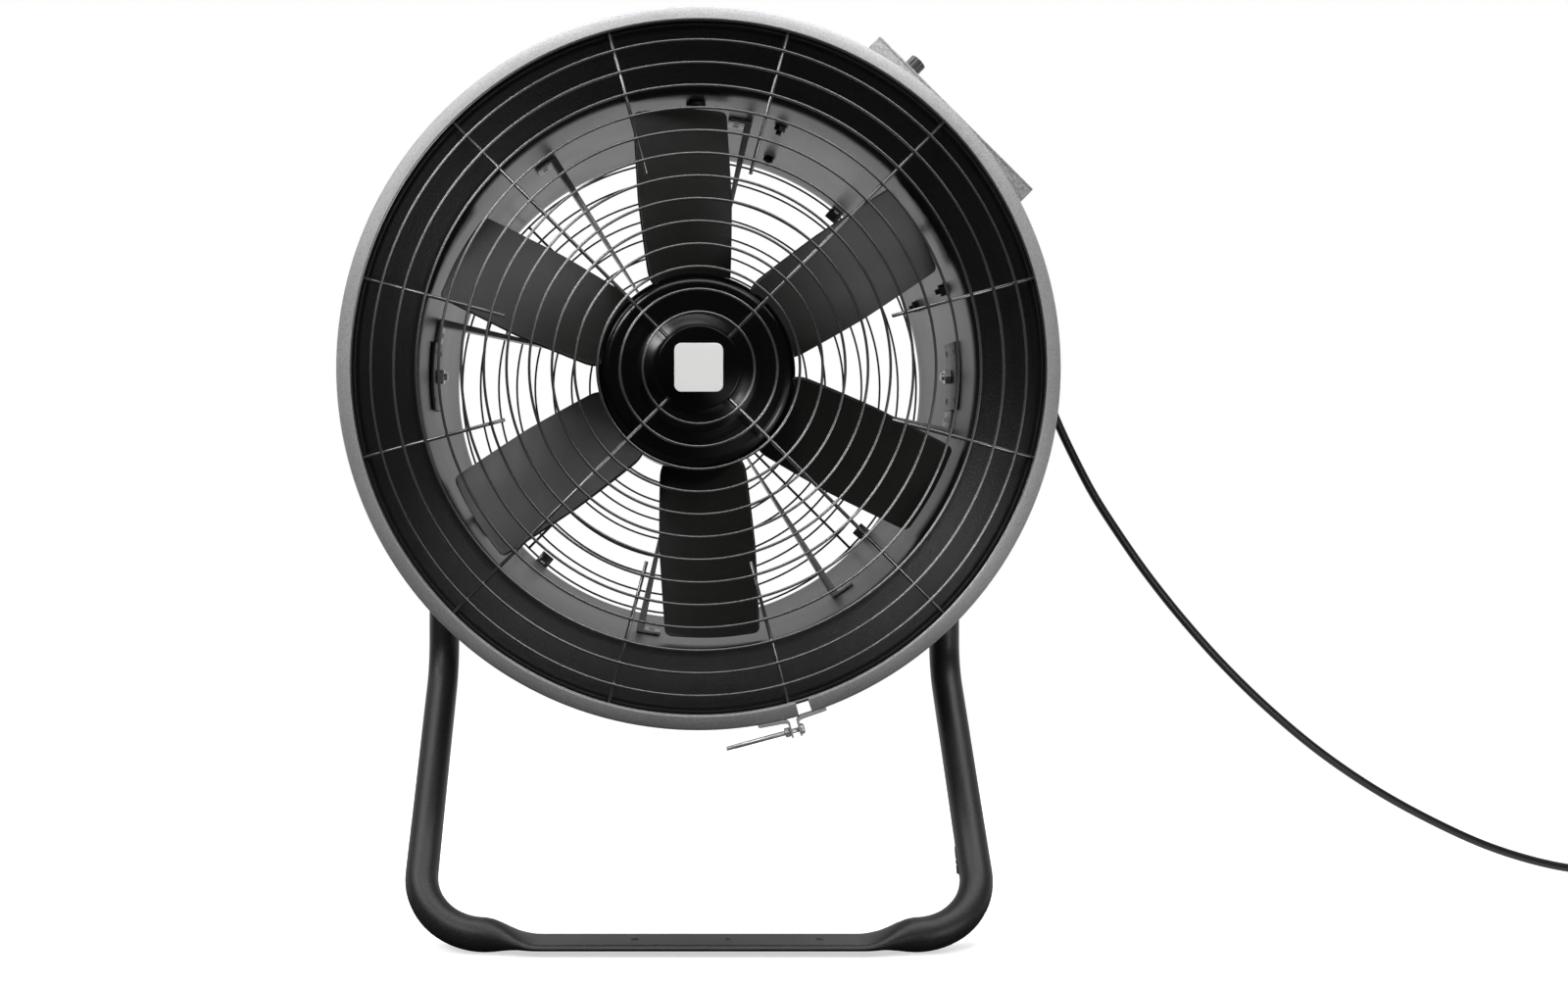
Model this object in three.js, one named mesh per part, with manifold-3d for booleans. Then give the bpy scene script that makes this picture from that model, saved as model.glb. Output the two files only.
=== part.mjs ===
// Drum fan on a tubular floor stand.
// Millimetres, +Z up. The fan blows towards -Y, +X is on its right as seen from the front.
// The origin is on the floor, straight below the axis on which the drum tilts.

import * as THREE from 'three';
import * as BufferGeometryUtils from 'three/addons/utils/BufferGeometryUtils.js';
import Module from 'manifold-3d';

const wasm = await Module();
wasm.setup();

// ---------------------------------------------------------------- driving dimensions

const CLEAR = 0.3; // gap between two pieces that touch

// drum
const AXIS_Z = 484; // drum axis above the floor
const RIM_Y = -152; // front plane of the drum, measured from the tilt axis
const DRUM_LENGTH = 367.3;
const BARREL_R = 245; // inside
const SHELL_WALL = 2;
const MOUTH_FLARE = 48; // how much wider the mouth is than the barrel
const MOUTH_R = BARREL_R + MOUTH_FLARE; // inside of the flare at its front edge
const FLARE_LENGTH = 51;
const BEAD_ROLL = 6;
const BEAD_R = MOUTH_R + BEAD_ROLL; // rolled front edge, outside
const BEAD_LENGTH = 5;
const DRUM_SEGMENTS = 48;

// split clamp band round the rim
const BAND_DEPTH = 11; // over the bead
const BAND_LIP = 2.3; // inside the bead
const BAND_OUTER_R = BEAD_R + BAND_DEPTH;
const BAND_INNER_R = BEAD_R - BAND_LIP;
const BAND_SHEET = 1.6;
const BAND_GAP = 12;
const CLAMP_ANGLE = -75;
const EAR_LENGTH = 24;
const EAR_WIDTH = 10;
const EAR_DROP = 16;
const EAR_SPACE = 6;
const CLAMP_BOLT_R = 2;
const CLAMP_BOLT_LENGTH = 66;
const CLAMP_HEAD_R = 4.5;

// front guard
const RING_COUNT = 13;
const FIRST_RING_R = 47.75;
const RING_WIRE_R = 1.2;
const SPOKE_WIRE_R = 1.6;
const RIM_WIRE_R = 1.7;
const RIM_WIRE_RING_R = BAND_INNER_R + BAND_LIP / 4.6;
const RING_PITCH = (RIM_WIRE_RING_R - FIRST_RING_R) / (RING_COUNT - 0.1);
const LONG_SPOKES = 4;
const SHORT_SPOKES_PER_QUARTER = 2;
const SPOKE_STEP = 30; // degrees
const SHORT_SPOKE_R = 171;
const DISC_R = 36;
const DISC_SHEET = 1.2;
const DISC_RIM = 1.2; // the edge that is turned back onto the spokes
const LONG_SPOKE_R = 30; // where the long spokes end, behind the disc
const BADGE_SIDE = 41.5;
const BADGE_CORNER_R = 6;
const BADGE_THICKNESS = 1.6;

// rear guard
const REAR_RING_COUNT = 11;
const REAR_WIRE_R = 1.1;
const REAR_RING_PLAY = 1.9; // between the outer ring and the barrel
const REAR_SPOKE_R = 1.4;
const CLIP_WIDTH = 14;
const CLIP_REACH = 12;
const CLIP_SHEET = 2;
const CLIP_TURN = 5; // degrees past the rear spokes

// impeller
const BLADE_COUNT = 6;
const BLADE_FIRST_ANGLE = 33.5;
const BLADE_TIP_GAP = 6; // to the barrel
const BLADE_TIP_R = BARREL_R - BLADE_TIP_GAP;
const BLADE_PLANE_Y = -64;
const BLADE_THICKNESS = 4.6;
const BLADE_EDGE = 1.8;
const BLADE_ROOT_CHORD = 95;
const BLADE_MIDDLE_CHORD = 94;
const BLADE_TIP_CHORD = 88;
const BLADE_ROOT = { chord: BLADE_ROOT_CHORD, pitch: 38 };
const BLADE_MIDDLE = { chord: BLADE_MIDDLE_CHORD, pitch: 24 };
const BLADE_TIP = { chord: BLADE_TIP_CHORD, pitch: 16 };
const BLADE_STATIONS = 6;
const BLADE_CORNER = 7;
const HUB_R = 88;
const HUB_FRONT_Y = -98;
const HUB_BACK_Y = -32;
const HUB_FILLET_R = 11;
const HUB_WALL = 3.5;
const HUB_BOSS_R = 16;

// motor
const SHAFT_R = 7;
const SHAFT_SET_BACK = 14; // behind the hub's face
const MOTOR_R = 58;
const MOTOR_SEGMENTS = 24;
const MOTOR_WALL = 3;
const MOTOR_FRONT_Y = -18;
const MOTOR_LENGTH = 96;
const COVER_PLATE = 4;
const BEARING_R = 17.5;
const BEARING_WIDTH = 11;
const BEARING_SEAT_WALL = 3;
const STATOR_BORE_R = 34;
const STATOR_LENGTH = 44;
const AIR_GAP = 0.5;
const CRADLE_WALL = 3;
const STRUT_COUNT = 8;
const STRUT_FIRST_ANGLE = 77.5;
const STRUT_SHEET = 3;
const STRUT_WIDTH = 30;
const STRUT_FRONT_Y = -7;
const STRUT_FOOT_ANGLE = 4.93; // degrees along the wall

// tilt pivots
const PIVOT_BOLT_R = 4;
const PLATE_HALF_ANGLE = 7.48; // degrees along the wall, to each side of the pivot
const PLATE_WIDTH = 54;
const PLATE_SHEET = 3;
const NUT_FLATS = 13;
const NUT_THICKNESS = 6.5;
const HEX_BORE = 1.16; // a six-sided bore's corners, as a share of the round it clears
const SPACER_R = 17;
const KNOB_R = 25;
const KNOB_LOBES = 5;
const KNOB_THICKNESS = 16;
const KNOB_BOSS_R = 12;
const KNOB_BOSS_LENGTH = 8;

// stand
const TUBE_R = 14;
const TUBE_SIDES = 10;
const KNEE_Z = 212;
const FRONT_BAR_Y = -197;
const CORNER_R = 58;
const KNEE_R = 60;
const POST_STAND_OFF = 15; // from the barrel to the post's middle
const POST_OFFSET = 27.3; // sideways, between the post's top and its foot
const POST_X = BARREL_R + SHELL_WALL + POST_STAND_OFF; // at the pivot
const LEG_X = POST_X - POST_OFFSET;
const POST_BEND_LOW_Z = 288;
const POST_BEND_HIGH_Z = 376;
const POST_BEND_R = 90;
const POST_TOP = 22; // above the pivot
const POST_FLAT = 9; // thickness of the pressed end
const POST_FLAT_WIDTH = 40;
const POST_FLAT_START = 46; // below the pivot
const POST_FLAT_FULL = 26;
const BAR_FLAT = 5; // thickness of the pressed front bar
const BAR_FLAT_WIDTH = 41;
const BAR_FLAT_Z = 7.2;
const BAR_FLAT_SHIFT = 1.5; // the pressed bar's middle lies behind the tube's
const BAR_FLAT_X = 133;
const BAR_FLAT_END_X = 178;
const REAR_TUBE_R = 7.5;
const REAR_TOP_Z = 262;
const REAR_SPLAY = 35.3; // sideways, between a rear leg's top and its foot
const REAR_FOOT_X = LEG_X + REAR_SPLAY;
const REAR_FOOT_Y = 76;
const REAR_CAP_WALL = 2;
const REAR_CAP_LENGTH = 30;
const REAR_CAP_SOLE = 6;

// control box on the drum's upper right
const BOX_ANGLE = 45;
const BOX_STAND_OFF = 5; // from the barrel
const BOX_HEIGHT = 81.5;
const BOX_INNER = BARREL_R + SHELL_WALL + BOX_STAND_OFF;
const BOX_OUTER = BOX_INNER + BOX_HEIGHT; // lid's outer face, from the drum axis
const BOX_LENGTH = 196; // across the drum axis
const BOX_FRONT_Y = -60;
const BOX_DEPTH = 220; // along the drum axis
const BOX_SHEET = 2;
const LID_SHEET = 2;
const WING_SPREAD = 26; // degrees from the box's middle to its fixing bolts
const WING_WIDTH = 18;
const SPEED_KNOB_R = 8.5;
const SPEED_KNOB_HEIGHT = 18;
const SPEED_KNOB_ALONG = -59; // from the box's middle, towards its upper end
const SPEED_KNOB_Y = -25;
const SPEED_SPINDLE_R = 3;
const POT_R = 12;
const POT_DEPTH = 18;
const GLAND_RISE = 16; // over the box's floor
const GLAND_RADIAL = BOX_INNER + GLAND_RISE; // from the drum axis
const GLAND_Y = 60;
const GLAND_R = 10;
const GLAND_LENGTH = 18;
const RELIEF_LENGTH = 32;
const RELIEF_R = 6.6;

// mains cord, in the plane of its gland
const CORD_R = 4;
const CORD_SIDES = 8;
const CORD_STEPS = 44;
const COIL_X = 944;
const COIL_INNER_R = 38;
const COIL_TURNS = 4.5;
const COIL_STEPS_PER_TURN = 24;
const COIL_SIDES = 6;
const COIL_GAP = 0.6; // between two turns
const PLUG_LENGTH = 46;
const PLUG_R = 18;
const PLUG_NECK_R = 7;
const PLUG_NECK_LENGTH = 20;
const PIN_R = 2.4;
const PIN_LENGTH = 19;
const PIN_SPACING = 19;

// rubber plug in the top of the drum
const BARREL_PLUG_R = 9;
const BARREL_PLUG_Y = -60;
const BARREL_PLUG_FLANGE = 3;

// ---------------------------------------------------------------- materials

const finish = (color, roughness, metalness) =>
  new THREE.MeshStandardMaterial({ color, roughness, metalness });

const PAINT = finish(0x1b1c1d, 0.55, 0.1);
const GREY_PAINT = finish(0x3a3b3c, 0.5, 0.2);
const WIRE = finish(0x26272a, 0.35, 0.4);
const BLADE_PLASTIC = finish(0x202120, 0.6, 0);
const GLOSS_PLASTIC = finish(0x0b0b0c, 0.15, 0);
const ZINC = finish(0xb9bcbf, 0.3, 0.9);
const STEEL = finish(0x8d9093, 0.35, 0.9);
const COPPER = finish(0x9a5a33, 0.4, 0.8);
const RUBBER = finish(0x111111, 0.85, 0);
const WHITE_PLASTIC = finish(0xf2f2f0, 0.35, 0);

// ---------------------------------------------------------------- solids

const radians = THREE.MathUtils.degToRad;

// The geometry as one closed body with merged corners and its faces pointing out.
function closed(geometry) {
  let g = geometry.clone();
  for (const name of Object.keys(g.attributes)) {
    if (name !== 'position') g.deleteAttribute(name);
  }
  g = BufferGeometryUtils.mergeVertices(g, 1e-3);
  const p = g.attributes.position;
  const index = Array.from(g.index.array);
  const a = new THREE.Vector3();
  const b = new THREE.Vector3();
  const c = new THREE.Vector3();
  const kept = [];
  let volume = 0;
  for (let i = 0; i < index.length; i += 3) {
    const [u, v, w] = index.slice(i, i + 3);
    if (u === v || v === w || w === u) continue;
    kept.push(u, v, w);
    a.fromBufferAttribute(p, u);
    b.fromBufferAttribute(p, v);
    c.fromBufferAttribute(p, w);
    volume += a.dot(b.cross(c)) / 6;
  }
  g.setIndex(volume < 0 ? kept.reverse() : kept);
  return g;
}

function toManifold(geometry) {
  const g = closed(geometry);
  const vertProperties = Float32Array.from(g.attributes.position.array);
  const triVerts = Uint32Array.from(g.index.array);
  return new wasm.Manifold(new wasm.Mesh({ numProp: 3, vertProperties, triVerts }));
}

function fromManifold(solid) {
  const mesh = solid.getMesh();
  const g = new THREE.BufferGeometry();
  g.setAttribute('position', new THREE.Float32BufferAttribute(Array.from(mesh.vertProperties), 3));
  g.setIndex(Array.from(mesh.triVerts));
  return closed(g);
}

function cut(geometry, ...tools) {
  const cut = tools.reduce((solid, tool) => solid.subtract(toManifold(tool)), toManifold(geometry));
  return fromManifold(cut);
}

function join(...geometries) {
  const [first, ...rest] = geometries.map(toManifold);
  return fromManifold(rest.reduce((solid, next) => solid.add(next), first));
}

// A body turned round the drum axis from a closed outline of [radius, y] points.
function turned(outline, segments = DRUM_SEGMENTS) {
  const points = outline.map(([r, y]) => new THREE.Vector2(r, y));
  if (outline[0][0] > 0 || outline.at(-1)[0] > 0) points.push(points[0].clone());
  return closed(new THREE.LatheGeometry(points, segments).translate(0, 0, AXIS_Z));
}

// A turned body about the line from `from` towards `direction`; y in the outline runs along it.
function turnedAlong(outline, from, direction, segments) {
  const points = outline.map(([r, y]) => new THREE.Vector2(r, y));
  if (outline[0][0] > 0 || outline.at(-1)[0] > 0) points.push(points[0].clone());
  const upwards = new THREE.Vector3(0, 1, 0);
  const turn = new THREE.Quaternion().setFromUnitVectors(upwards, direction.clone().normalize());
  const g = new THREE.LatheGeometry(points, segments).applyQuaternion(turn);
  return closed(g.translate(from.x, from.y, from.z));
}

function rod(radius, from, to, segments = 12) {
  const along = to.clone().sub(from);
  const length = along.length();
  return turnedAlong([[0, 0], [radius, 0], [radius, length], [0, length]], from, along, segments);
}

// A shape in the drum's X and Z, seen from the front, given thickness from frontY backwards.
function pressed(shape, frontY, thickness, curveSegments = 12) {
  const g = new THREE.ExtrudeGeometry(shape, { depth: thickness, bevelEnabled: false, curveSegments });
  return closed(g.rotateX(Math.PI / 2).translate(0, frontY + thickness, AXIS_Z));
}

// A point at an angle round the drum axis: 0 is +X and 90 is up.
function around(degrees, radius, y = 0) {
  const a = radians(degrees);
  return new THREE.Vector3(radius * Math.cos(a), y, AXIS_Z + radius * Math.sin(a));
}

// A body made at angle 0 (along +X) and turned to an angle round the drum axis.
function turnedTo(geometry, degrees) {
  return geometry.translate(0, 0, -AXIS_Z).rotateY(-radians(degrees)).translate(0, 0, AXIS_Z);
}

function box(low, high) {
  const size = high.map((v, i) => v - low[i]);
  const middle = high.map((v, i) => (v + low[i]) / 2);
  return closed(new THREE.BoxGeometry(...size).translate(...middle));
}

// An arc of sheet metal, between two radii and two angles.
function arcShape(innerR, outerR, fromDegrees, toDegrees) {
  const shape = new THREE.Shape();
  shape.absarc(0, 0, outerR, radians(fromDegrees), radians(toDegrees), false);
  shape.absarc(0, 0, innerR, radians(toDegrees), radians(fromDegrees), true);
  shape.closePath();
  return shape;
}

function polygon(points) {
  return new THREE.Shape(points.map(([x, y]) => new THREE.Vector2(x, y)));
}

function circle(radius, sides, phase = 0) {
  const at = (i) => phase + (2 * Math.PI * i) / sides;
  const corner = (_, i) => [radius * Math.cos(at(i)), radius * Math.sin(at(i))];
  return polygon(Array.from({ length: sides }, corner));
}

// A curve that an extrusion follows station by station.
class Stations extends THREE.Curve {
  constructor(points) {
    super();
    this.points = points;
  }

  getPoint(t) {
    return this.points[Math.round(t * (this.points.length - 1))].clone();
  }

  getPointAt(u) {
    return this.getPoint(u);
  }

  getTangentAt(u) {
    const i = Math.round(u * (this.points.length - 1));
    const next = this.points[Math.min(i + 1, this.points.length - 1)];
    const last = this.points[Math.max(i - 1, 0)];
    return next.clone().sub(last).normalize();
  }
}

function tube(points, radius, sides) {
  const path = new Stations(points);
  const steps = points.length - 1;
  const options = { steps, bevelEnabled: false, extrudePath: path };
  return closed(new THREE.ExtrudeGeometry(circle(radius, sides), options));
}

// Corner points joined by straights, with a bend of the given radius at each inner corner.
function bent(corners, bendRadii, bendSteps) {
  const points = [corners[0].clone()];
  for (let i = 1; i < corners.length - 1; i += 1) {
    const into = corners[i].clone().sub(corners[i - 1]).normalize();
    const out = corners[i + 1].clone().sub(corners[i]).normalize();
    const turn = into.angleTo(out);
    const reach = bendRadii[i - 1] * Math.tan(turn / 2);
    const start = corners[i].clone().addScaledVector(into, -reach);
    const inward = out.clone().addScaledVector(into, -into.dot(out)).normalize();
    for (let k = 0; k <= bendSteps; k += 1) {
      const a = (turn * k) / bendSteps;
      const r = bendRadii[i - 1];
      const along = start.clone().addScaledVector(into, r * Math.sin(a));
      points.push(along.addScaledVector(inward, r * (1 - Math.cos(a))));
    }
  }
  points.push(corners.at(-1).clone());
  return points;
}

// A body lofted through rings of points, each with the same number of points, closed by flat ends.
function lofted(rings) {
  const n = rings[0].length;
  const positions = rings.flat().flatMap((p) => [p.x, p.y, p.z]);
  const index = [];
  for (let k = 0; k < rings.length - 1; k += 1) {
    for (let i = 0; i < n; i += 1) {
      const j = (i + 1) % n;
      const [a, b, c, d] = [k * n + i, k * n + j, (k + 1) * n + j, (k + 1) * n + i];
      index.push(a, b, c, a, c, d);
    }
  }
  for (let i = 1; i < n - 1; i += 1) {
    const last = (rings.length - 1) * n;
    index.push(0, i + 1, i, last, last + i, last + i + 1);
  }
  const g = new THREE.BufferGeometry();
  g.setAttribute('position', new THREE.Float32BufferAttribute(positions, 3));
  g.setIndex(index);
  return closed(g);
}

// ---------------------------------------------------------------- drum

const GUARD_RING_Y = RIM_Y + BAND_SHEET + CLEAR + RIM_WIRE_R;
const GUARD_SPOKE_Y = GUARD_RING_Y + RING_WIRE_R + SPOKE_WIRE_R * 0.6;
const BEAD_Y = GUARD_SPOKE_Y + SPOKE_WIRE_R + CLEAR;
const BAND_WIDTH = BEAD_Y + BEAD_LENGTH + CLEAR + BAND_SHEET - RIM_Y;
const BARREL_Y = RIM_Y + FLARE_LENGTH;
const DRUM_BACK_Y = RIM_Y + DRUM_LENGTH;
const BARREL_OUTER_R = BARREL_R + SHELL_WALL;
// for what lies on the wall inside
const BARREL_SEAT_R = BARREL_R * Math.cos(Math.PI / DRUM_SEGMENTS) - CLEAR;

function drumShell() {
  const beadBackY = BEAD_Y + BEAD_LENGTH;
  const mouthBend = (MOUTH_R - BARREL_R) * 0.12;
  const shell = turned([
    [MOUTH_R, BEAD_Y],
    [BEAD_R, BEAD_Y],
    [BEAD_R, beadBackY],
    [MOUTH_R + SHELL_WALL, beadBackY],
    [BARREL_OUTER_R + mouthBend, BARREL_Y - SHELL_WALL],
    [BARREL_OUTER_R, BARREL_Y + FLARE_LENGTH / 8],
    [BARREL_OUTER_R, DRUM_BACK_Y],
    [BARREL_R, DRUM_BACK_Y],
    [BARREL_R, BARREL_Y + FLARE_LENGTH / 8],
    [BARREL_R + mouthBend, BARREL_Y - SHELL_WALL],
  ]);
  const reach = BARREL_OUTER_R + SHELL_WALL;
  const bore = PIVOT_BOLT_R + CLEAR;
  const pivotBores = rod(bore, new THREE.Vector3(-reach, 0, AXIS_Z), new THREE.Vector3(reach, 0, AXIS_Z));
  const plugBore = rod(
    BARREL_PLUG_R - SHELL_WALL,
    new THREE.Vector3(0, BARREL_PLUG_Y, AXIS_Z + BARREL_R - SHELL_WALL * 2),
    new THREE.Vector3(0, BARREL_PLUG_Y, AXIS_Z + BARREL_OUTER_R + SHELL_WALL),
  );
  return cut(shell, pivotBores, plugBore);
}

// The band is a channel that holds the guard's rim wire against the drum's rolled edge.
function clampBand() {
  const backY = RIM_Y + BAND_WIDTH;
  const channel = turned([
    [BAND_INNER_R, RIM_Y],
    [BAND_OUTER_R, RIM_Y],
    [BAND_OUTER_R, backY],
    [BAND_INNER_R, backY],
    [BAND_INNER_R, backY - BAND_SHEET],
    [BAND_OUTER_R - BAND_SHEET, backY - BAND_SHEET],
    [BAND_OUTER_R - BAND_SHEET, RIM_Y + BAND_SHEET],
    [BAND_INNER_R, RIM_Y + BAND_SHEET],
  ]);
  const gap = box(
    [BAND_INNER_R - BAND_SHEET, RIM_Y - 1, AXIS_Z - BAND_GAP / 2],
    [BAND_OUTER_R + EAR_DROP * 2, backY + 1, AXIS_Z + BAND_GAP / 2],
  );
  return join(cut(channel, turnedTo(gap, CLAMP_ANGLE)), clampEar(1), clampEar(-1));
}

const EAR_Y = RIM_Y + (BAND_WIDTH - EAR_WIDTH) / 2;

// A bent strap under the band on one side of its gap, ending in an ear that the clamp bolt pulls.
function clampEar(side) {
  const sheet = BAND_SHEET;
  const foot = BAND_OUTER_R - sheet / 2;
  const near = EAR_SPACE / 2;
  const far = BAND_GAP / 2 + EAR_LENGTH;
  const drop = Math.sqrt(BAND_OUTER_R ** 2 - far ** 2) - sheet / 2;
  const shape = polygon([
    [foot, side * (BAND_GAP / 2 + sheet)],
    [foot, side * (BAND_GAP / 2 + 1)],
    [foot + sheet * 2, side * near],
    [BAND_OUTER_R + EAR_DROP, side * near],
    [BAND_OUTER_R + EAR_DROP, side * (near + sheet)],
    [foot + sheet * 3, side * (near + sheet)],
    [foot + sheet * 1.8, side * (BAND_GAP / 2 + sheet * 2)],
    [drop + sheet * 1.6, side * far],
    [drop, side * far],
  ]);
  const ear = pressed(shape, EAR_Y, EAR_WIDTH);
  const hole = rod(
    CLAMP_BOLT_R + CLEAR,
    new THREE.Vector3(CLAMP_BOLT_LINE_R, EAR_Y + EAR_WIDTH / 2, AXIS_Z - far),
    new THREE.Vector3(CLAMP_BOLT_LINE_R, EAR_Y + EAR_WIDTH / 2, AXIS_Z + far),
    8,
  );
  return turnedTo(cut(ear, hole), CLAMP_ANGLE);
}

const CLAMP_BOLT_LINE_R = BAND_OUTER_R + EAR_DROP * 0.66;

// The bolt's dome head is against one ear, and its long shank passes through both.
function clampBolt() {
  const head = EAR_SPACE / 2 + BAND_SHEET + CLEAR;
  const dome = CLAMP_HEAD_R * 0.7;
  const outline = [
    [0, -head - dome],
    [CLAMP_HEAD_R * 0.6, -head - dome],
    [CLAMP_HEAD_R, -head - dome * 0.4],
    [CLAMP_HEAD_R, -head],
    [CLAMP_BOLT_R, -head],
    [CLAMP_BOLT_R, CLAMP_BOLT_LENGTH - head],
    [0, CLAMP_BOLT_LENGTH - head],
  ];
  const start = new THREE.Vector3(CLAMP_BOLT_LINE_R, EAR_Y + EAR_WIDTH / 2, AXIS_Z);
  return turnedTo(turnedAlong(outline, start, new THREE.Vector3(0, 0, -1), 10), CLAMP_ANGLE);
}

function clampNut() {
  const face = EAR_SPACE / 2 + BAND_SHEET + CLEAR;
  const bore = HEX_BORE * (CLAMP_BOLT_R + CLEAR);
  const end = face + CLAMP_HEAD_R;
  const outline = [[bore, face], [CLAMP_HEAD_R, face], [CLAMP_HEAD_R, end], [bore, end]];
  const start = new THREE.Vector3(CLAMP_BOLT_LINE_R, EAR_Y + EAR_WIDTH / 2, AXIS_Z);
  return turnedTo(turnedAlong(outline, start, new THREE.Vector3(0, 0, -1), 6), CLAMP_ANGLE);
}

// ---------------------------------------------------------------- guards

function ringOfWire(ringR, wireR, y, segments) {
  const outline = [[ringR - wireR, y], [ringR, y - wireR], [ringR + wireR, y], [ringR, y + wireR]];
  return turned(outline, segments);
}

// More facets on a wider ring, so that all are about as round.
const facets = (ringR) => (ringR < 120 ? 16 : ringR < 210 ? 20 : 26);

function spoke(degrees, innerR, outerR, wireR, y) {
  return rod(wireR, around(degrees, innerR, y), around(degrees, outerR, y), 4);
}


function frontGuard() {
  const parts = [ringOfWire(RIM_WIRE_RING_R, RIM_WIRE_R, GUARD_RING_Y, 36)];
  for (let k = 0; k < RING_COUNT; k += 1) {
    const r = FIRST_RING_R + k * RING_PITCH;
    parts.push(ringOfWire(r, RING_WIRE_R, GUARD_RING_Y, facets(r)));
  }
  for (let q = 0; q < LONG_SPOKES; q += 1) {
    const first = 45 + (360 / LONG_SPOKES) * q;
    parts.push(spoke(first, LONG_SPOKE_R, RIM_WIRE_RING_R, SPOKE_WIRE_R, GUARD_SPOKE_Y));
    for (let s = 1; s <= SHORT_SPOKES_PER_QUARTER; s += 1) {
      const angle = first + s * SPOKE_STEP;
      parts.push(spoke(angle, SHORT_SPOKE_R, RIM_WIRE_RING_R, SPOKE_WIRE_R, GUARD_SPOKE_Y));
    }
  }
  return join(...parts);
}

// The flat disc in the guard's middle, its edge turned back onto the long spokes.
function guardDisc() {
  const frontY = GUARD_RING_Y - RING_WIRE_R - DISC_SHEET;
  const rimY = GUARD_SPOKE_Y - SPOKE_WIRE_R - CLEAR;
  return turned([
    [0, frontY],
    [DISC_R, frontY],
    [DISC_R, rimY],
    [DISC_R - DISC_RIM, rimY],
    [DISC_R - DISC_RIM, frontY + DISC_SHEET],
    [0, frontY + DISC_SHEET],
  ], 32);
}

function badgePlate() {
  const half = BADGE_SIDE / 2;
  const r = BADGE_CORNER_R;
  const shape = new THREE.Shape();
  for (const [x, z, start] of [[1, 1, 0], [-1, 1, 90], [-1, -1, 180], [1, -1, 270]]) {
    shape.absarc(x * (half - r), z * (half - r), r, radians(start), radians(start + 90), false);
  }
  shape.closePath();
  const backY = GUARD_RING_Y - RING_WIRE_R - DISC_SHEET - CLEAR;
  return pressed(shape, backY - BADGE_THICKNESS, BADGE_THICKNESS, 4);
}

const REAR_GUARD_Y = DRUM_BACK_Y - REAR_WIRE_R - 2 * REAR_SPOKE_R;
const REAR_OUTER_RING_R = BARREL_SEAT_R - REAR_WIRE_R - REAR_RING_PLAY;
const REAR_RING_PITCH = (REAR_OUTER_RING_R - FIRST_RING_R) / (REAR_RING_COUNT - 1);

function rearGuard() {
  const parts = [];
  for (let k = 0; k < REAR_RING_COUNT; k += 1) {
    const r = FIRST_RING_R + k * REAR_RING_PITCH;
    parts.push(ringOfWire(r, REAR_WIRE_R, REAR_GUARD_Y, facets(r)));
  }
  for (let q = 0; q < 4; q += 1) {
    const spokeY = REAR_GUARD_Y - REAR_WIRE_R;
    parts.push(spoke(45 + 90 * q, FIRST_RING_R - REAR_WIRE_R, REAR_OUTER_RING_R, REAR_SPOKE_R, spokeY));
  }
  return join(...parts);
}

// A folded clip on the barrel wall that holds the rear guard's outer ring.
function rearClip(degrees) {
  const outerR = Math.sqrt(BARREL_SEAT_R ** 2 - (CLIP_WIDTH / 2) ** 2);
  const frontY = REAR_GUARD_Y - REAR_WIRE_R - CLEAR - CLIP_SHEET;
  const low = [outerR - CLIP_REACH, frontY, AXIS_Z - CLIP_WIDTH / 2];
  const clip = join(
    box(low, [outerR, frontY + CLIP_SHEET, AXIS_Z + CLIP_WIDTH / 2]),
    box([outerR - CLIP_SHEET, frontY - CLIP_REACH, low[2]], [outerR, frontY + 1, AXIS_Z + CLIP_WIDTH / 2]),
  );
  return turnedTo(clip, degrees);
}

// ---------------------------------------------------------------- impeller

const SHAFT_FRONT_Y = HUB_FRONT_Y + SHAFT_SET_BACK;

function bladeSize(share) {
  const [from, to, t] =
    share < 0.5 ? [BLADE_ROOT, BLADE_MIDDLE, share * 2] : [BLADE_MIDDLE, BLADE_TIP, share * 2 - 1];
  return {
    chord: THREE.MathUtils.lerp(from.chord, to.chord, t),
    pitch: radians(THREE.MathUtils.lerp(from.pitch, to.pitch, t)),
  };
}

// A twisted blade: each section lies on a cylinder round the drum axis.
function blade(degrees) {
  const rootR = HUB_R - BLADE_THICKNESS;
  const rings = [];
  const sections = Array.from({ length: BLADE_STATIONS }, (_, i) => i / (BLADE_STATIONS - 1));
  sections.splice(-1, 0, 1 - BLADE_CORNER / (BLADE_TIP_R - rootR));
  for (const share of sections) {
    const r = rootR + share * (BLADE_TIP_R - rootR);
    const { chord, pitch } = bladeSize(share);
    const half = chord / 2 - (share === 1 ? BLADE_CORNER : 0);
    const side = [[-half, 0.5], [-half / 2, 1], [half / 2, 1], [half, 0.5]];
    const thick = (w) => (w === 1 ? BLADE_THICKNESS : BLADE_EDGE) / 2;
    const outline = [
      ...side.map(([s, w]) => [s, thick(w)]),
      ...side.reverse().map(([s, w]) => [s, -thick(w)]),
    ];
    rings.push(outline.map(([s, d]) => {
      const along = s * Math.cos(pitch) + d * Math.sin(pitch);
      const y = BLADE_PLANE_Y - s * Math.sin(pitch) + d * Math.cos(pitch);
      return around(degrees + THREE.MathUtils.radToDeg(along / r), r, y);
    }));
  }
  const hubR = HUB_R + CLEAR;
  const hubSpace = turned([[0, HUB_FRONT_Y], [hubR, HUB_FRONT_Y], [hubR, HUB_BACK_Y], [0, HUB_BACK_Y]], 64);
  return cut(lofted(rings), hubSpace);
}

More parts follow.
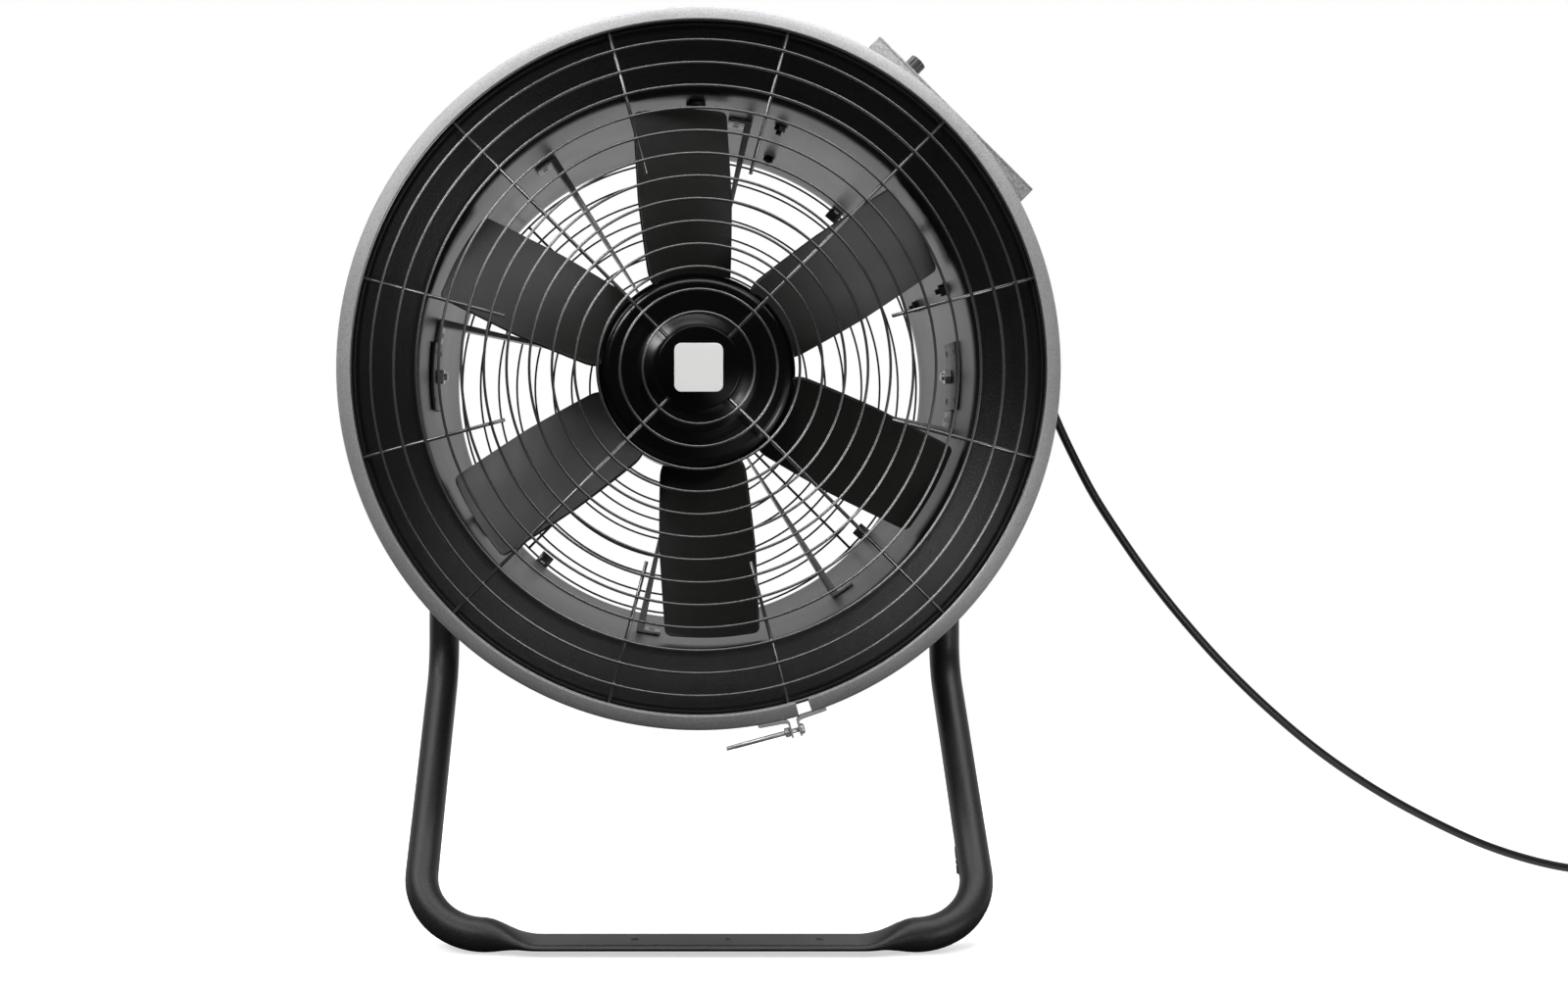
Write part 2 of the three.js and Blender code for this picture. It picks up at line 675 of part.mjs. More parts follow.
// The hub is a moulded cup with a central boss that the shaft passes into.
function hub() {
  const f = HUB_FILLET_R;
  const cupY = HUB_FRONT_Y + HUB_WALL;
  const bossBore = SHAFT_R + CLEAR;
  return turned([
    [0, HUB_FRONT_Y],
    [HUB_R - f, HUB_FRONT_Y],
    [HUB_R - f * 0.5, HUB_FRONT_Y + f * 0.134],
    [HUB_R - f * 0.134, HUB_FRONT_Y + f * 0.5],
    [HUB_R, HUB_FRONT_Y + f],
    [HUB_R, HUB_BACK_Y],
    [HUB_R - HUB_WALL, HUB_BACK_Y],
    [HUB_R - HUB_WALL, HUB_FRONT_Y + f],
    [HUB_R - f, cupY],
    [HUB_BOSS_R, cupY],
    [HUB_BOSS_R, HUB_BACK_Y - HUB_WALL],
    [bossBore, HUB_BACK_Y - HUB_WALL],
    [bossBore, SHAFT_FRONT_Y - CLEAR],
    [0, SHAFT_FRONT_Y - CLEAR],
  ], 32);
}

const MOTOR_BACK_Y = MOTOR_FRONT_Y + MOTOR_LENGTH;
const FRONT_SEAT_Y = MOTOR_FRONT_Y + COVER_PLATE;
const BACK_SEAT_Y = MOTOR_BACK_Y - COVER_PLATE;

function motorShaft() {
  const backY = BACK_SEAT_Y - CLEAR;
  return turned([[0, SHAFT_FRONT_Y], [SHAFT_R, SHAFT_FRONT_Y], [SHAFT_R, backY], [0, backY]], 16);
}

function rotorCore() {
  const r = STATOR_BORE_R - AIR_GAP;
  const middleY = (MOTOR_FRONT_Y + MOTOR_BACK_Y) / 2;
  const [frontY, backY] = [middleY - STATOR_LENGTH / 2, middleY + STATOR_LENGTH / 2];
  const bore = SHAFT_R + CLEAR;
  return turned([[bore, frontY], [r, frontY], [r, backY], [bore, backY]], 24);
}

// ---------------------------------------------------------------- motor

function motorHousing() {
  const innerR = MOTOR_R - MOTOR_WALL;
  return turned([
    [innerR, MOTOR_FRONT_Y + COVER_PLATE + CLEAR],
    [MOTOR_R, MOTOR_FRONT_Y + COVER_PLATE + CLEAR],
    [MOTOR_R, MOTOR_BACK_Y - COVER_PLATE - CLEAR],
    [innerR, MOTOR_BACK_Y - COVER_PLATE - CLEAR],
  ], MOTOR_SEGMENTS);
}

// An end cover with a bearing seat; `inward` is 1 where the motor lies behind it.
function motorCover(outsideY, inward, shaftHole) {
  const seatR = BEARING_R + CLEAR;
  const plate = outsideY + inward * COVER_PLATE;
  const seat = plate + inward * BEARING_WIDTH;
  const holeR = shaftHole ? SHAFT_R + 2 : 0;
  return turned([
    [holeR, outsideY],
    [MOTOR_R, outsideY],
    [MOTOR_R, plate],
    [seatR + BEARING_SEAT_WALL, plate],
    [seatR + BEARING_SEAT_WALL, seat],
    [seatR, seat],
    [seatR, plate],
    [holeR, plate],
  ], MOTOR_SEGMENTS);
}

function bearing(seatY, inward) {
  const from = seatY + inward * CLEAR;
  const to = seatY + inward * BEARING_WIDTH;
  const bore = SHAFT_R + CLEAR;
  return turned([[bore, from], [BEARING_R, from], [BEARING_R, to], [bore, to]], 20);
}

function stator() {
  const middleY = (MOTOR_FRONT_Y + MOTOR_BACK_Y) / 2;
  const [frontY, backY] = [middleY - STATOR_LENGTH / 2, middleY + STATOR_LENGTH / 2];
  const r = MOTOR_R - MOTOR_WALL - CLEAR;
  return turned([[STATOR_BORE_R, frontY], [r, frontY], [r, backY], [STATOR_BORE_R, backY]], MOTOR_SEGMENTS);
}

const CRADLE_R = MOTOR_R + CLEAR;

// The ring round the motor that the struts carry.
function motorCradle() {
  const backY = STRUT_FRONT_Y + STRUT_WIDTH;
  const outerR = CRADLE_R + CRADLE_WALL;
  const outline = [[CRADLE_R, STRUT_FRONT_Y], [outerR, STRUT_FRONT_Y], [outerR, backY], [CRADLE_R, backY]];
  return turned(outline, MOTOR_SEGMENTS);
}

// A flat bar from the cradle to the barrel, with its outer end bent to lie on the wall.
function strut(degrees) {
  const innerR = CRADLE_R + CRADLE_WALL + CLEAR;
  const outerR = BARREL_SEAT_R;
  const half = STRUT_SHEET / 2;
  const shape = new THREE.Shape();
  shape.moveTo(innerR, -half);
  shape.absarc(0, 0, outerR, -half / outerR, radians(STRUT_FOOT_ANGLE), false);
  shape.absarc(0, 0, outerR - STRUT_SHEET, radians(STRUT_FOOT_ANGLE), radians(1.2), true);
  shape.lineTo(innerR, half);
  shape.closePath();
  return turnedTo(pressed(shape, STRUT_FRONT_Y, STRUT_WIDTH, 3), degrees);
}

// ---------------------------------------------------------------- tilt pivots

const mirrored = (geometry) => closed(geometry.clone().scale(-1, 1, 1));
const PLATE_INNER_R = BARREL_SEAT_R - PLATE_SHEET;
const X_AXIS = new THREE.Vector3(1, 0, 0);

// The curved plate inside the barrel that spreads the pivot's load.
function backingPlate() {
  const shape = arcShape(PLATE_INNER_R, BARREL_SEAT_R, -PLATE_HALF_ANGLE, PLATE_HALF_ANGLE);
  const plate = pressed(shape, -PLATE_WIDTH / 2, PLATE_WIDTH, 6);
  const bore = PIVOT_BOLT_R + CLEAR;
  const from = new THREE.Vector3(PLATE_INNER_R - PLATE_SHEET, 0, AXIS_Z);
  const to = new THREE.Vector3(BARREL_OUTER_R, 0, AXIS_Z);
  return cut(plate, rod(bore, from, to));
}

function pivotNut() {
  const r = NUT_FLATS / Math.sqrt(3);
  const face = PLATE_INNER_R - CLEAR;
  const bore = HEX_BORE * (PIVOT_BOLT_R + CLEAR);
  const outline = [[bore, face - NUT_THICKNESS], [r, face - NUT_THICKNESS], [r, face], [bore, face]];
  return turnedAlong(outline, new THREE.Vector3(0, 0, AXIS_Z), X_AXIS, 6);
}

const POST_INNER_X = POST_X - POST_FLAT / 2;
const POST_OUTER_X = POST_X + POST_FLAT / 2;

function pivotSpacer() {
  const from = BARREL_OUTER_R + CLEAR;
  const to = POST_INNER_X - CLEAR;
  const bore = PIVOT_BOLT_R + CLEAR;
  const outline = [[bore, from], [SPACER_R, from], [SPACER_R, to], [bore, to]];
  return turnedAlong(outline, new THREE.Vector3(0, 0, AXIS_Z), X_AXIS, 20);
}

// The lobed hand knob and its threaded stud, which reaches the nut inside the barrel.
function handKnob() {
  const face = POST_OUTER_X + CLEAR;
  const lobes = new THREE.Shape();
  const steps = KNOB_LOBES * 4;
  for (let i = 0; i < steps; i += 1) {
    const a = (2 * Math.PI * i) / steps;
    const r = KNOB_R * (0.88 + 0.12 * Math.cos(KNOB_LOBES * a));
    const [x, y] = [r * Math.cos(a), r * Math.sin(a)];
    if (i === 0) lobes.moveTo(x, y);
    else lobes.lineTo(x, y);
  }
  const grip = new THREE.ExtrudeGeometry(lobes, {
    depth: KNOB_THICKNESS - 4,
    bevelEnabled: true, bevelThickness: 2, bevelSize: 2, bevelOffset: -2, bevelSegments: 1,
  });
  grip.rotateY(Math.PI / 2).translate(face + KNOB_BOSS_LENGTH + 2 - CLEAR, 0, AXIS_Z);
  const axis = new THREE.Vector3(0, 0, AXIS_Z);
  const studEnd = PLATE_INNER_R - CLEAR - NUT_THICKNESS - 3;
  const stud = turnedAlong([
    [0, studEnd],
    [PIVOT_BOLT_R, studEnd],
    [PIVOT_BOLT_R, face],
    [KNOB_BOSS_R, face],
    [KNOB_BOSS_R * 0.8, face + KNOB_BOSS_LENGTH + 1],
    [0, face + KNOB_BOSS_LENGTH + 1],
  ], axis, X_AXIS, 12);
  return join(closed(grip), stud);
}

// ---------------------------------------------------------------- stand

// One tube: the post up to the right pivot, the knee, the leg, the front bar, and the same on the left.
function standFrame() {
  const right = [
    new THREE.Vector3(POST_X, 0, AXIS_Z + POST_TOP),
    new THREE.Vector3(POST_X, 0, AXIS_Z - POST_FLAT_FULL),
    new THREE.Vector3(POST_X, 0, AXIS_Z - POST_FLAT_START),
    new THREE.Vector3(POST_X, 0, POST_BEND_HIGH_Z),
    new THREE.Vector3(LEG_X, 0, POST_BEND_LOW_Z),
    new THREE.Vector3(LEG_X, 0, KNEE_Z),
    new THREE.Vector3(LEG_X, FRONT_BAR_Y, TUBE_R),
  ];
  const inner = [BAR_FLAT_END_X, (BAR_FLAT_END_X + BAR_FLAT_X) / 2, BAR_FLAT_X]
    .map((x) => new THREE.Vector3(x, FRONT_BAR_Y, TUBE_R));
  const half = bent([...right, inner[2]], [0, 0, POST_BEND_R, POST_BEND_R, KNEE_R, CORNER_R], 4);
  const unique = half.filter((p, i) => i === 0 || p.distanceTo(half[i - 1]) > 0.5);
  const rightHalf = [...unique.slice(0, -1), ...inner];
  const leftHalf = rightHalf.slice().reverse().map((p) => p.clone().multiply(new THREE.Vector3(-1, 1, 1)));
  const frame = tube([...rightHalf, ...leftHalf], TUBE_R, TUBE_SIDES);
  pressFlats(frame);
  const reach = new THREE.Vector3(POST_OUTER_X + TUBE_R, 0, AXIS_Z);
  const bores = rod(PIVOT_BOLT_R + CLEAR, reach.clone().multiply(new THREE.Vector3(-1, 1, 1)), reach);
  return cut(closed(frame), bores);
}

// The front bar is pressed flat between its corners, and each post where the pivot passes through.
function pressFlats(frame) {
  const p = frame.attributes.position;
  const smooth = THREE.MathUtils.smoothstep;
  for (let i = 0; i < p.count; i += 1) {
    const x = p.getX(i);
    const z = p.getZ(i);
    if (z < 2 * TUBE_R + 1) {
      const flat = 1 - smooth(Math.abs(x), BAR_FLAT_X, BAR_FLAT_END_X);
      const y = p.getY(i) - FRONT_BAR_Y;
      const flatY = BAR_FLAT_SHIFT + (y * BAR_FLAT_WIDTH) / (2 * TUBE_R);
      const flatZ = BAR_FLAT_Z + ((z - TUBE_R) * BAR_FLAT) / (2 * TUBE_R);
      p.setY(i, FRONT_BAR_Y + y + flat * (flatY - y));
      p.setZ(i, z + flat * (flatZ - z));
    } else if (z > AXIS_Z - POST_FLAT_START) {
      const flat = smooth(z, AXIS_Z - POST_FLAT_START, AXIS_Z - POST_FLAT_FULL);
      const side = Math.sign(x) * POST_X;
      p.setX(i, side + (x - side) * (1 + flat * (POST_FLAT / (2 * TUBE_R) - 1)));
      p.setY(i, p.getY(i) * (1 + flat * (POST_FLAT_WIDTH / (2 * TUBE_R) - 1)));
    }
  }
}

const REAR_LEG_TOP = new THREE.Vector3(LEG_X, 0, REAR_TOP_Z);
const REAR_LEG_FOOT = new THREE.Vector3(REAR_FOOT_X, REAR_FOOT_Y, 0);

// The slim tube behind each post, coped to it at the top.
function rearLeg() {
  const along = REAR_LEG_FOOT.clone().sub(REAR_LEG_TOP).normalize();
  const foot = REAR_LEG_FOOT.clone().addScaledVector(along, -REAR_CAP_SOLE - REAR_TUBE_R / 2);
  const leg = rod(REAR_TUBE_R, REAR_LEG_TOP, foot, 12);
  const reachDown = new THREE.Vector3(LEG_X, 0, KNEE_Z - TUBE_R);
  const reachUp = new THREE.Vector3(LEG_X, 0, REAR_TOP_Z + 3 * TUBE_R);
  return cut(leg, rod(TUBE_R + CLEAR, reachDown, reachUp, 24));
}

// The rubber cap on the end of a rear leg, flat where it meets the floor.
function rearFoot() {
  const along = REAR_LEG_TOP.clone().sub(REAR_LEG_FOOT).normalize();
  const r = REAR_TUBE_R + CLEAR + REAR_CAP_WALL;
  const below = REAR_LEG_FOOT.clone().addScaledVector(along, -r);
  const top = REAR_LEG_FOOT.clone().addScaledVector(along, REAR_CAP_LENGTH);
  const seat = REAR_LEG_FOOT.clone().addScaledVector(along, REAR_CAP_SOLE + REAR_TUBE_R / 2 - CLEAR);
  const past = REAR_LEG_FOOT.clone().addScaledVector(along, REAR_CAP_LENGTH + r);
  const span = 3 * REAR_CAP_LENGTH;
  const floor = box(
    [REAR_FOOT_X - span, REAR_FOOT_Y - span, -span],
    [REAR_FOOT_X + span, REAR_FOOT_Y + span, 0],
  );
  return cut(rod(r, below, top, 16), rod(REAR_TUBE_R + CLEAR, seat, past, 16), floor);
}

// ---------------------------------------------------------------- control box

// A body drawn with X pointing away from the drum axis and Z across it, turned to the box's place.
const atBox = (geometry) => turnedTo(geometry, BOX_ANGLE);
const BOX_BACK_Y = BOX_FRONT_Y + BOX_DEPTH;
const LID_INNER = BOX_OUTER - LID_SHEET;
const BOX_HALF = BOX_LENGTH / 2;

// The folded steel box, open under its lid, with wings that reach down to the barrel.
function controlBox() {
  const low = [BOX_INNER, BOX_FRONT_Y, AXIS_Z - BOX_HALF];
  const outside = box(low, [LID_INNER - CLEAR, BOX_BACK_Y, AXIS_Z + BOX_HALF]);
  const s = BOX_SHEET;
  const inside = box(
    [BOX_INNER + s, BOX_FRONT_Y + s, AXIS_Z - BOX_HALF + s],
    [BOX_OUTER, BOX_BACK_Y - s, AXIS_Z + BOX_HALF - s],
  );
  const cordHole = rod(
    GLAND_R * 0.7 + CLEAR,
    new THREE.Vector3(GLAND_RADIAL, GLAND_Y, AXIS_Z - BOX_HALF - s),
    new THREE.Vector3(GLAND_RADIAL, GLAND_Y, AXIS_Z - BOX_HALF + 2 * s),
  );
  return atBox(join(cut(outside, inside, cordHole), boxWing(1), boxWing(-1)));
}

// A wing from the box's floor down to the barrel wall, where its bolts go through.
function boxWing(side) {
  const seatR = BARREL_OUTER_R + CLEAR;
  const a = radians(WING_SPREAD);
  const b = a - WING_WIDTH / 2 / seatR;
  const c = a + WING_WIDTH / 2 / seatR;
  const at = (angle, r) => [r * Math.cos(angle), side * r * Math.sin(angle)];
  const s = BOX_SHEET;
  const shape = polygon([
    [BOX_INNER + s, side * (BOX_HALF - 2 * s)],
    [BOX_INNER, side * (BOX_HALF - 2 * s)],
    at(b, seatR),
    at(a, seatR),
    at(c, seatR),
    at(c, seatR + s),
    at(a, seatR + s),
    at(b, seatR + s * 1.5),
    [BOX_INNER + s, side * (BOX_HALF - s / 2)],
  ]);
  return pressed(shape, BOX_FRONT_Y + WING_WIDTH, BOX_DEPTH - 2 * WING_WIDTH);
}

function controlLid() {
  const lid = box([LID_INNER, BOX_FRONT_Y, AXIS_Z - BOX_HALF], [BOX_OUTER, BOX_BACK_Y, AXIS_Z + BOX_HALF]);
  const z = AXIS_Z - SPEED_KNOB_ALONG;
  const hole = rod(
    SPEED_SPINDLE_R + 2 * CLEAR,
    new THREE.Vector3(LID_INNER - LID_SHEET, SPEED_KNOB_Y, z),
    new THREE.Vector3(BOX_OUTER + LID_SHEET, SPEED_KNOB_Y, z),
  );
  return atBox(cut(lid, hole));
}

// The speed controller's body, hung under the lid round the knob's spindle.
function speedController() {
  const top = LID_INNER - CLEAR;
  const bore = SPEED_SPINDLE_R + CLEAR;
  const outline = [[0, top - POT_DEPTH], [POT_R, top - POT_DEPTH], [POT_R, top]];
  outline.push([bore, top], [bore, top - 6], [0, top - 6]);
  const start = new THREE.Vector3(0, SPEED_KNOB_Y, AXIS_Z - SPEED_KNOB_ALONG);
  return atBox(turnedAlong(outline, start, X_AXIS, 16));
}

function speedKnob() {
  const face = BOX_OUTER + CLEAR;
  const foot = SPEED_KNOB_R * 1.15;
  const end = LID_INNER - CLEAR - 5;
  const outline = [
    [0, end],
    [SPEED_SPINDLE_R, end],
    [SPEED_SPINDLE_R, face],
    [foot, face],
    [foot, face + 3],
    [SPEED_KNOB_R, face + 4],
    [SPEED_KNOB_R * 0.92, face + SPEED_KNOB_HEIGHT],
    [0, face + SPEED_KNOB_HEIGHT],
  ];
  const start = new THREE.Vector3(0, SPEED_KNOB_Y, AXIS_Z - SPEED_KNOB_ALONG);
  return atBox(turnedAlong(outline, start, X_AXIS, 18));
}

function barrelPlug() {
  const top = BARREL_SEAT_R;
  const neck = BARREL_PLUG_R - SHELL_WALL - CLEAR;
  const end = BARREL_OUTER_R + CLEAR;
  const flange = top - BARREL_PLUG_FLANGE;
  const outline = [[0, flange], [BARREL_PLUG_R, flange], [BARREL_PLUG_R, top]];
  outline.push([neck, top], [neck, end], [0, end]);
  const start = new THREE.Vector3(0, BARREL_PLUG_Y, AXIS_Z);
  return turnedAlong(outline, start, new THREE.Vector3(0, 0, 1), 16);
}

// ---------------------------------------------------------------- cord

const CORD_OUT = new THREE.Vector3(Math.SQRT1_2, 0, -Math.SQRT1_2);
const GLAND_BASE = around(BOX_ANGLE, GLAND_RADIAL, GLAND_Y).addScaledVector(CORD_OUT, BOX_HALF);

function cableGland() {
  const neck = GLAND_R * 0.7;
  const bore = CORD_R + CLEAR;
  const outline = [
    [bore, -2 * BOX_SHEET],
    [neck, -2 * BOX_SHEET],
    [neck, CLEAR],
    [GLAND_R, CLEAR],
    [GLAND_R, GLAND_LENGTH * 0.5],
    [GLAND_R * 0.8, GLAND_LENGTH],
    [bore, GLAND_LENGTH],
  ];
  return turnedAlong(outline, GLAND_BASE, CORD_OUT, 12);
}

// The tapered sleeve that keeps the cord from kinking where it leaves the gland.
function strainRelief() {
  const from = GLAND_LENGTH + CLEAR;
  const to = from + RELIEF_LENGTH;
  return turnedAlong([[0, from], [RELIEF_R, from], [CORD_R + 0.6, to], [0, to]], GLAND_BASE, CORD_OUT, 12);
}

const CORD_START = GLAND_BASE.clone().addScaledVector(CORD_OUT, GLAND_LENGTH + RELIEF_LENGTH + 2 * CLEAR);

// The cord's hanging stretch: off the sleeve, down in a catenary, and on to the floor.
const CORD_ROUTE = [
  [303, 60, 560],
  [312, 60, 548],
  [322, 60, 529],
  [331, 60, 506],
  [342, 60, 477],
  [356, 60, 442],
  [372, 60, 408],
  [391, 60, 372],
  [414, 60, 336],
  [442, 60, 296],
  [476, 60, 253],
  [516, 60, 208],
  [560, 60, 165],
  [610, 60, 123],
  [664, 60, 86],
  [720, 60, 55],
  [778, 60, 29],
  [836, 60, 12],
  [884, 60, 5.2],
  [916, 60, 4.4],
].map(([x, y, z]) => new THREE.Vector3(x, y, z));

const CORD_FLOOR_Z = CORD_R + 0.4;
const COIL_PITCH = 2 * CORD_R + COIL_GAP;
const COIL_OUTER_R = COIL_INNER_R + (COIL_PITCH * COIL_TURNS) / 2;
const COIL_CENTRE = new THREE.Vector3(COIL_X, CORD_ROUTE.at(-1).y - COIL_OUTER_R, 0);
const COIL_END_STRAIGHT = 2 * CORD_R;

function cord() {
  const endX = COIL_CENTRE.x - COIL_END_STRAIGHT - CLEAR;
  const end = new THREE.Vector3(endX, CORD_ROUTE.at(-1).y, CORD_FLOOR_Z);
  const curve = new THREE.CatmullRomCurve3([CORD_START, ...CORD_ROUTE, end], false, 'centripetal');
  return tube(curve.getSpacedPoints(CORD_STEPS), CORD_R, CORD_SIDES);
}

// The rest of the cord, wound clockwise in two layers: inwards on the floor, then outwards on top,
// and lifted at its end to the middle of the plug.
function coilLine() {
  const steps = Math.round(COIL_TURNS * COIL_STEPS_PER_TURN);
  const middle = steps / 2;
  const quarter = COIL_STEPS_PER_TURN / 4;
  const smooth = THREE.MathUtils.smoothstep;
  const points = [];
  for (let i = 0; i <= steps; i += 1) {
    const a = Math.PI / 2 - (2 * Math.PI * i) / COIL_STEPS_PER_TURN;
    const fromMiddle = Math.abs(i - middle) / COIL_STEPS_PER_TURN;
    const r = COIL_INNER_R + COIL_PITCH * fromMiddle;
    const layer = smooth(i, middle - quarter, middle + quarter) * COIL_PITCH;
    const lift = smooth(i, steps - 2 * quarter, steps) * (PLUG_Z - CORD_FLOOR_Z - COIL_PITCH);
    const z = CORD_FLOOR_Z + layer + lift;
    points.push(new THREE.Vector3(COIL_CENTRE.x + r * Math.cos(a), COIL_CENTRE.y + r * Math.sin(a), z));
  }
  const back = new THREE.Vector3(-COIL_END_STRAIGHT, 0, 0);
  return [points[0].clone().add(back), ...points, points.at(-1).clone().add(back)];
}

const PLUG_Z = PLUG_R + 0.4;

// The least gap between two turns of the coil.
function coilGap(points) {
  let least = Infinity;
  for (let i = 0; i < points.length; i += 1) {
    for (let j = i + COIL_STEPS_PER_TURN / 2; j < points.length; j += 1) {
      least = Math.min(least, points[i].distanceTo(points[j]) - 2 * CORD_R);
    }
  }
  return least;
}

function lineLength(points) {
  return points.slice(1).reduce((sum, p, i) => sum + p.distanceTo(points[i]), 0);
}

const cordCoil = () => tube(coilLine(), CORD_R, COIL_SIDES);

// The mains plug at the end of the coil, lying on the floor.
function plug() {
  const start = coilLine().at(-1).add(new THREE.Vector3(-CLEAR, 0, 0));
  const along = new THREE.Vector3(-1, 0, 0);
  const bodyEnd = PLUG_NECK_LENGTH + PLUG_LENGTH;
  const body = turnedAlong([
    [0, 0],
    [PLUG_NECK_R * 0.8, 0],
    [PLUG_NECK_R, PLUG_NECK_LENGTH * 0.8],
    [PLUG_R * 0.75, PLUG_NECK_LENGTH],
    [PLUG_R, PLUG_NECK_LENGTH + PLUG_LENGTH * 0.4],
    [PLUG_R, bodyEnd],
    [0, bodyEnd],
  ], start, along, 18);
  const pins = [-1, 1].map((side) => {
    const y = start.y + (side * PIN_SPACING) / 2;
    const from = new THREE.Vector3(start.x - bodyEnd + 2, y, start.z);
    return rod(PIN_R, from, from.clone().addScaledVector(along, PIN_LENGTH + 2), 8);
  });
  return join(body, ...pins);
}

// ---------------------------------------------------------------- assembly

const fan = new THREE.Group();

function add(name, geometry, material) {
  const mesh = new THREE.Mesh(geometry, material);
  mesh.name = name;
  fan.add(mesh);
}

const everyAngle = (count, first) => Array.from({ length: count }, (_, i) => first + (360 / count) * i);

function addDrum() {
  add('drum_shell', drumShell(), PAINT);
  add('clamp_band', clampBand(), GREY_PAINT);
  add('clamp_bolt', clampBolt(), ZINC);
  add('clamp_nut', clampNut(), ZINC);
  add('front_guard', frontGuard(), WIRE);
  add('guard_disc', guardDisc(), PAINT);
  add('badge_plate', badgePlate(), WHITE_PLASTIC);
  add('rear_guard', rearGuard(), WIRE);
  everyAngle(4, 45 + CLIP_TURN).forEach((angle, i) => {
    add(`rear_clip_${i + 1}`, rearClip(angle), GREY_PAINT);
  });
  add('barrel_plug', barrelPlug(), RUBBER);
}

function addImpeller() {
  add('hub', hub(), GLOSS_PLASTIC);
  everyAngle(BLADE_COUNT, BLADE_FIRST_ANGLE).forEach((angle, i) => {
    add(`blade_${i + 1}`, blade(angle), BLADE_PLASTIC);
  });
  add('motor_shaft', motorShaft(), STEEL);
  add('rotor_core', rotorCore(), STEEL);
}

function addMotor() {
  add('motor_housing', motorHousing(), PAINT);
  add('motor_front_cover', motorCover(MOTOR_FRONT_Y, 1, true), PAINT);
  add('motor_rear_cover', motorCover(MOTOR_BACK_Y, -1, false), PAINT);
  add('front_bearing', bearing(FRONT_SEAT_Y, 1), STEEL);
  add('rear_bearing', bearing(BACK_SEAT_Y, -1), STEEL);
  add('stator', stator(), COPPER);
  add('motor_cradle', motorCradle(), GREY_PAINT);
  everyAngle(STRUT_COUNT, STRUT_FIRST_ANGLE).forEach((angle, i) => {
    add(`strut_${i + 1}`, strut(angle), GREY_PAINT);
  });
}

function addPair(name, geometry, material) {
  add(`${name}_right`, geometry, material);
  add(`${name}_left`, mirrored(geometry), material);
}

function addStand() {
  addPair('backing_plate', backingPlate(), PAINT);
  addPair('pivot_nut', pivotNut(), ZINC);
  addPair('pivot_spacer', pivotSpacer(), RUBBER);
  addPair('hand_knob', handKnob(), GLOSS_PLASTIC);
  add('stand_frame', standFrame(), PAINT);
  addPair('rear_leg', rearLeg(), PAINT);
  addPair('rear_foot', rearFoot(), RUBBER);
}

function addControls() {
  add('control_box', controlBox(), GREY_PAINT);
  add('control_lid', controlLid(), GREY_PAINT);
  add('speed_controller', speedController(), STEEL);
  add('speed_knob', speedKnob(), GLOSS_PLASTIC);
  add('cable_gland', cableGland(), GLOSS_PLASTIC);
  add('strain_relief', strainRelief(), RUBBER);
}

function addCord() {
  add('cord', cord(), RUBBER);
  add('cord_coil', cordCoil(), RUBBER);
  add('plug', plug(), RUBBER);
  const line = coilLine();
  const route = new THREE.CatmullRomCurve3([CORD_START, ...CORD_ROUTE], false, 'centripetal');
  const total = (route.getLength() + lineLength(line)) / 1000;
  console.log(`cord ${total.toFixed(3)} m, of which ${(lineLength(line) / 1000).toFixed(3)} m coiled`);
  console.log(`least gap between the coil's turns ${coilGap(line).toFixed(2)} mm`);
}

addDrum();
addImpeller();
addMotor();
addStand();
addControls();
addCord();

export default fan;
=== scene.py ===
"""Looks of a drum fan on a tubular floor stand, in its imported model's frame (metres, +Z up)."""

import logging
import math
from collections.abc import Callable
from dataclasses import dataclass
from enum import Enum

import bpy
from mathutils import Matrix, Vector


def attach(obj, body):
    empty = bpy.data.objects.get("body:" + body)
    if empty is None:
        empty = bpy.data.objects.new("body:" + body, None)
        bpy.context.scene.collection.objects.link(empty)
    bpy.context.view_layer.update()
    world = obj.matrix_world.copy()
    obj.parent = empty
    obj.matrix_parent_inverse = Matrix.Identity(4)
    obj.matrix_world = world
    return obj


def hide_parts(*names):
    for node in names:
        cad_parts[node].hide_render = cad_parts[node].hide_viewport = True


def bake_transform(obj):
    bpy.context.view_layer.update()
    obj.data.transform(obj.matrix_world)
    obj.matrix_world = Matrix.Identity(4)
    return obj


LOG = logging.getLogger("drum_fan")
MM = 0.001
AXIS_Z = 484 * MM  # drum axis above the floor
RIM_Y = -152 * MM  # front plane of the drum

Point = tuple[float, float]
Place = tuple[float, float, float]


# ---------------------------------------------------------------- finishes

COAT_ROUGHNESS = 0.12
SMOOTHEST = 0.02  # the lowest roughness that any finish drifts to
DRIFT_SCALE = 14.0  # of the slow drift of tone over a surface
DRIFT_DETAIL = 4.0
GRAIN_DETAIL = 2.0
GRAIN_HEIGHT = 0.4 * MM
BRUSH_STRETCH = (1.0, 0.04, 1.0)
SPECK_RANGE = (0.32, 0.68)  # the grain's noise from the darkest speck to the lightest


class Grain(Enum):
    """The surface pattern that a finish shows from close by."""

    SMOOTH = "smooth"
    POWDER = "powder coat"
    MOULDED = "moulded grain"
    BRUSHED = "brushed"


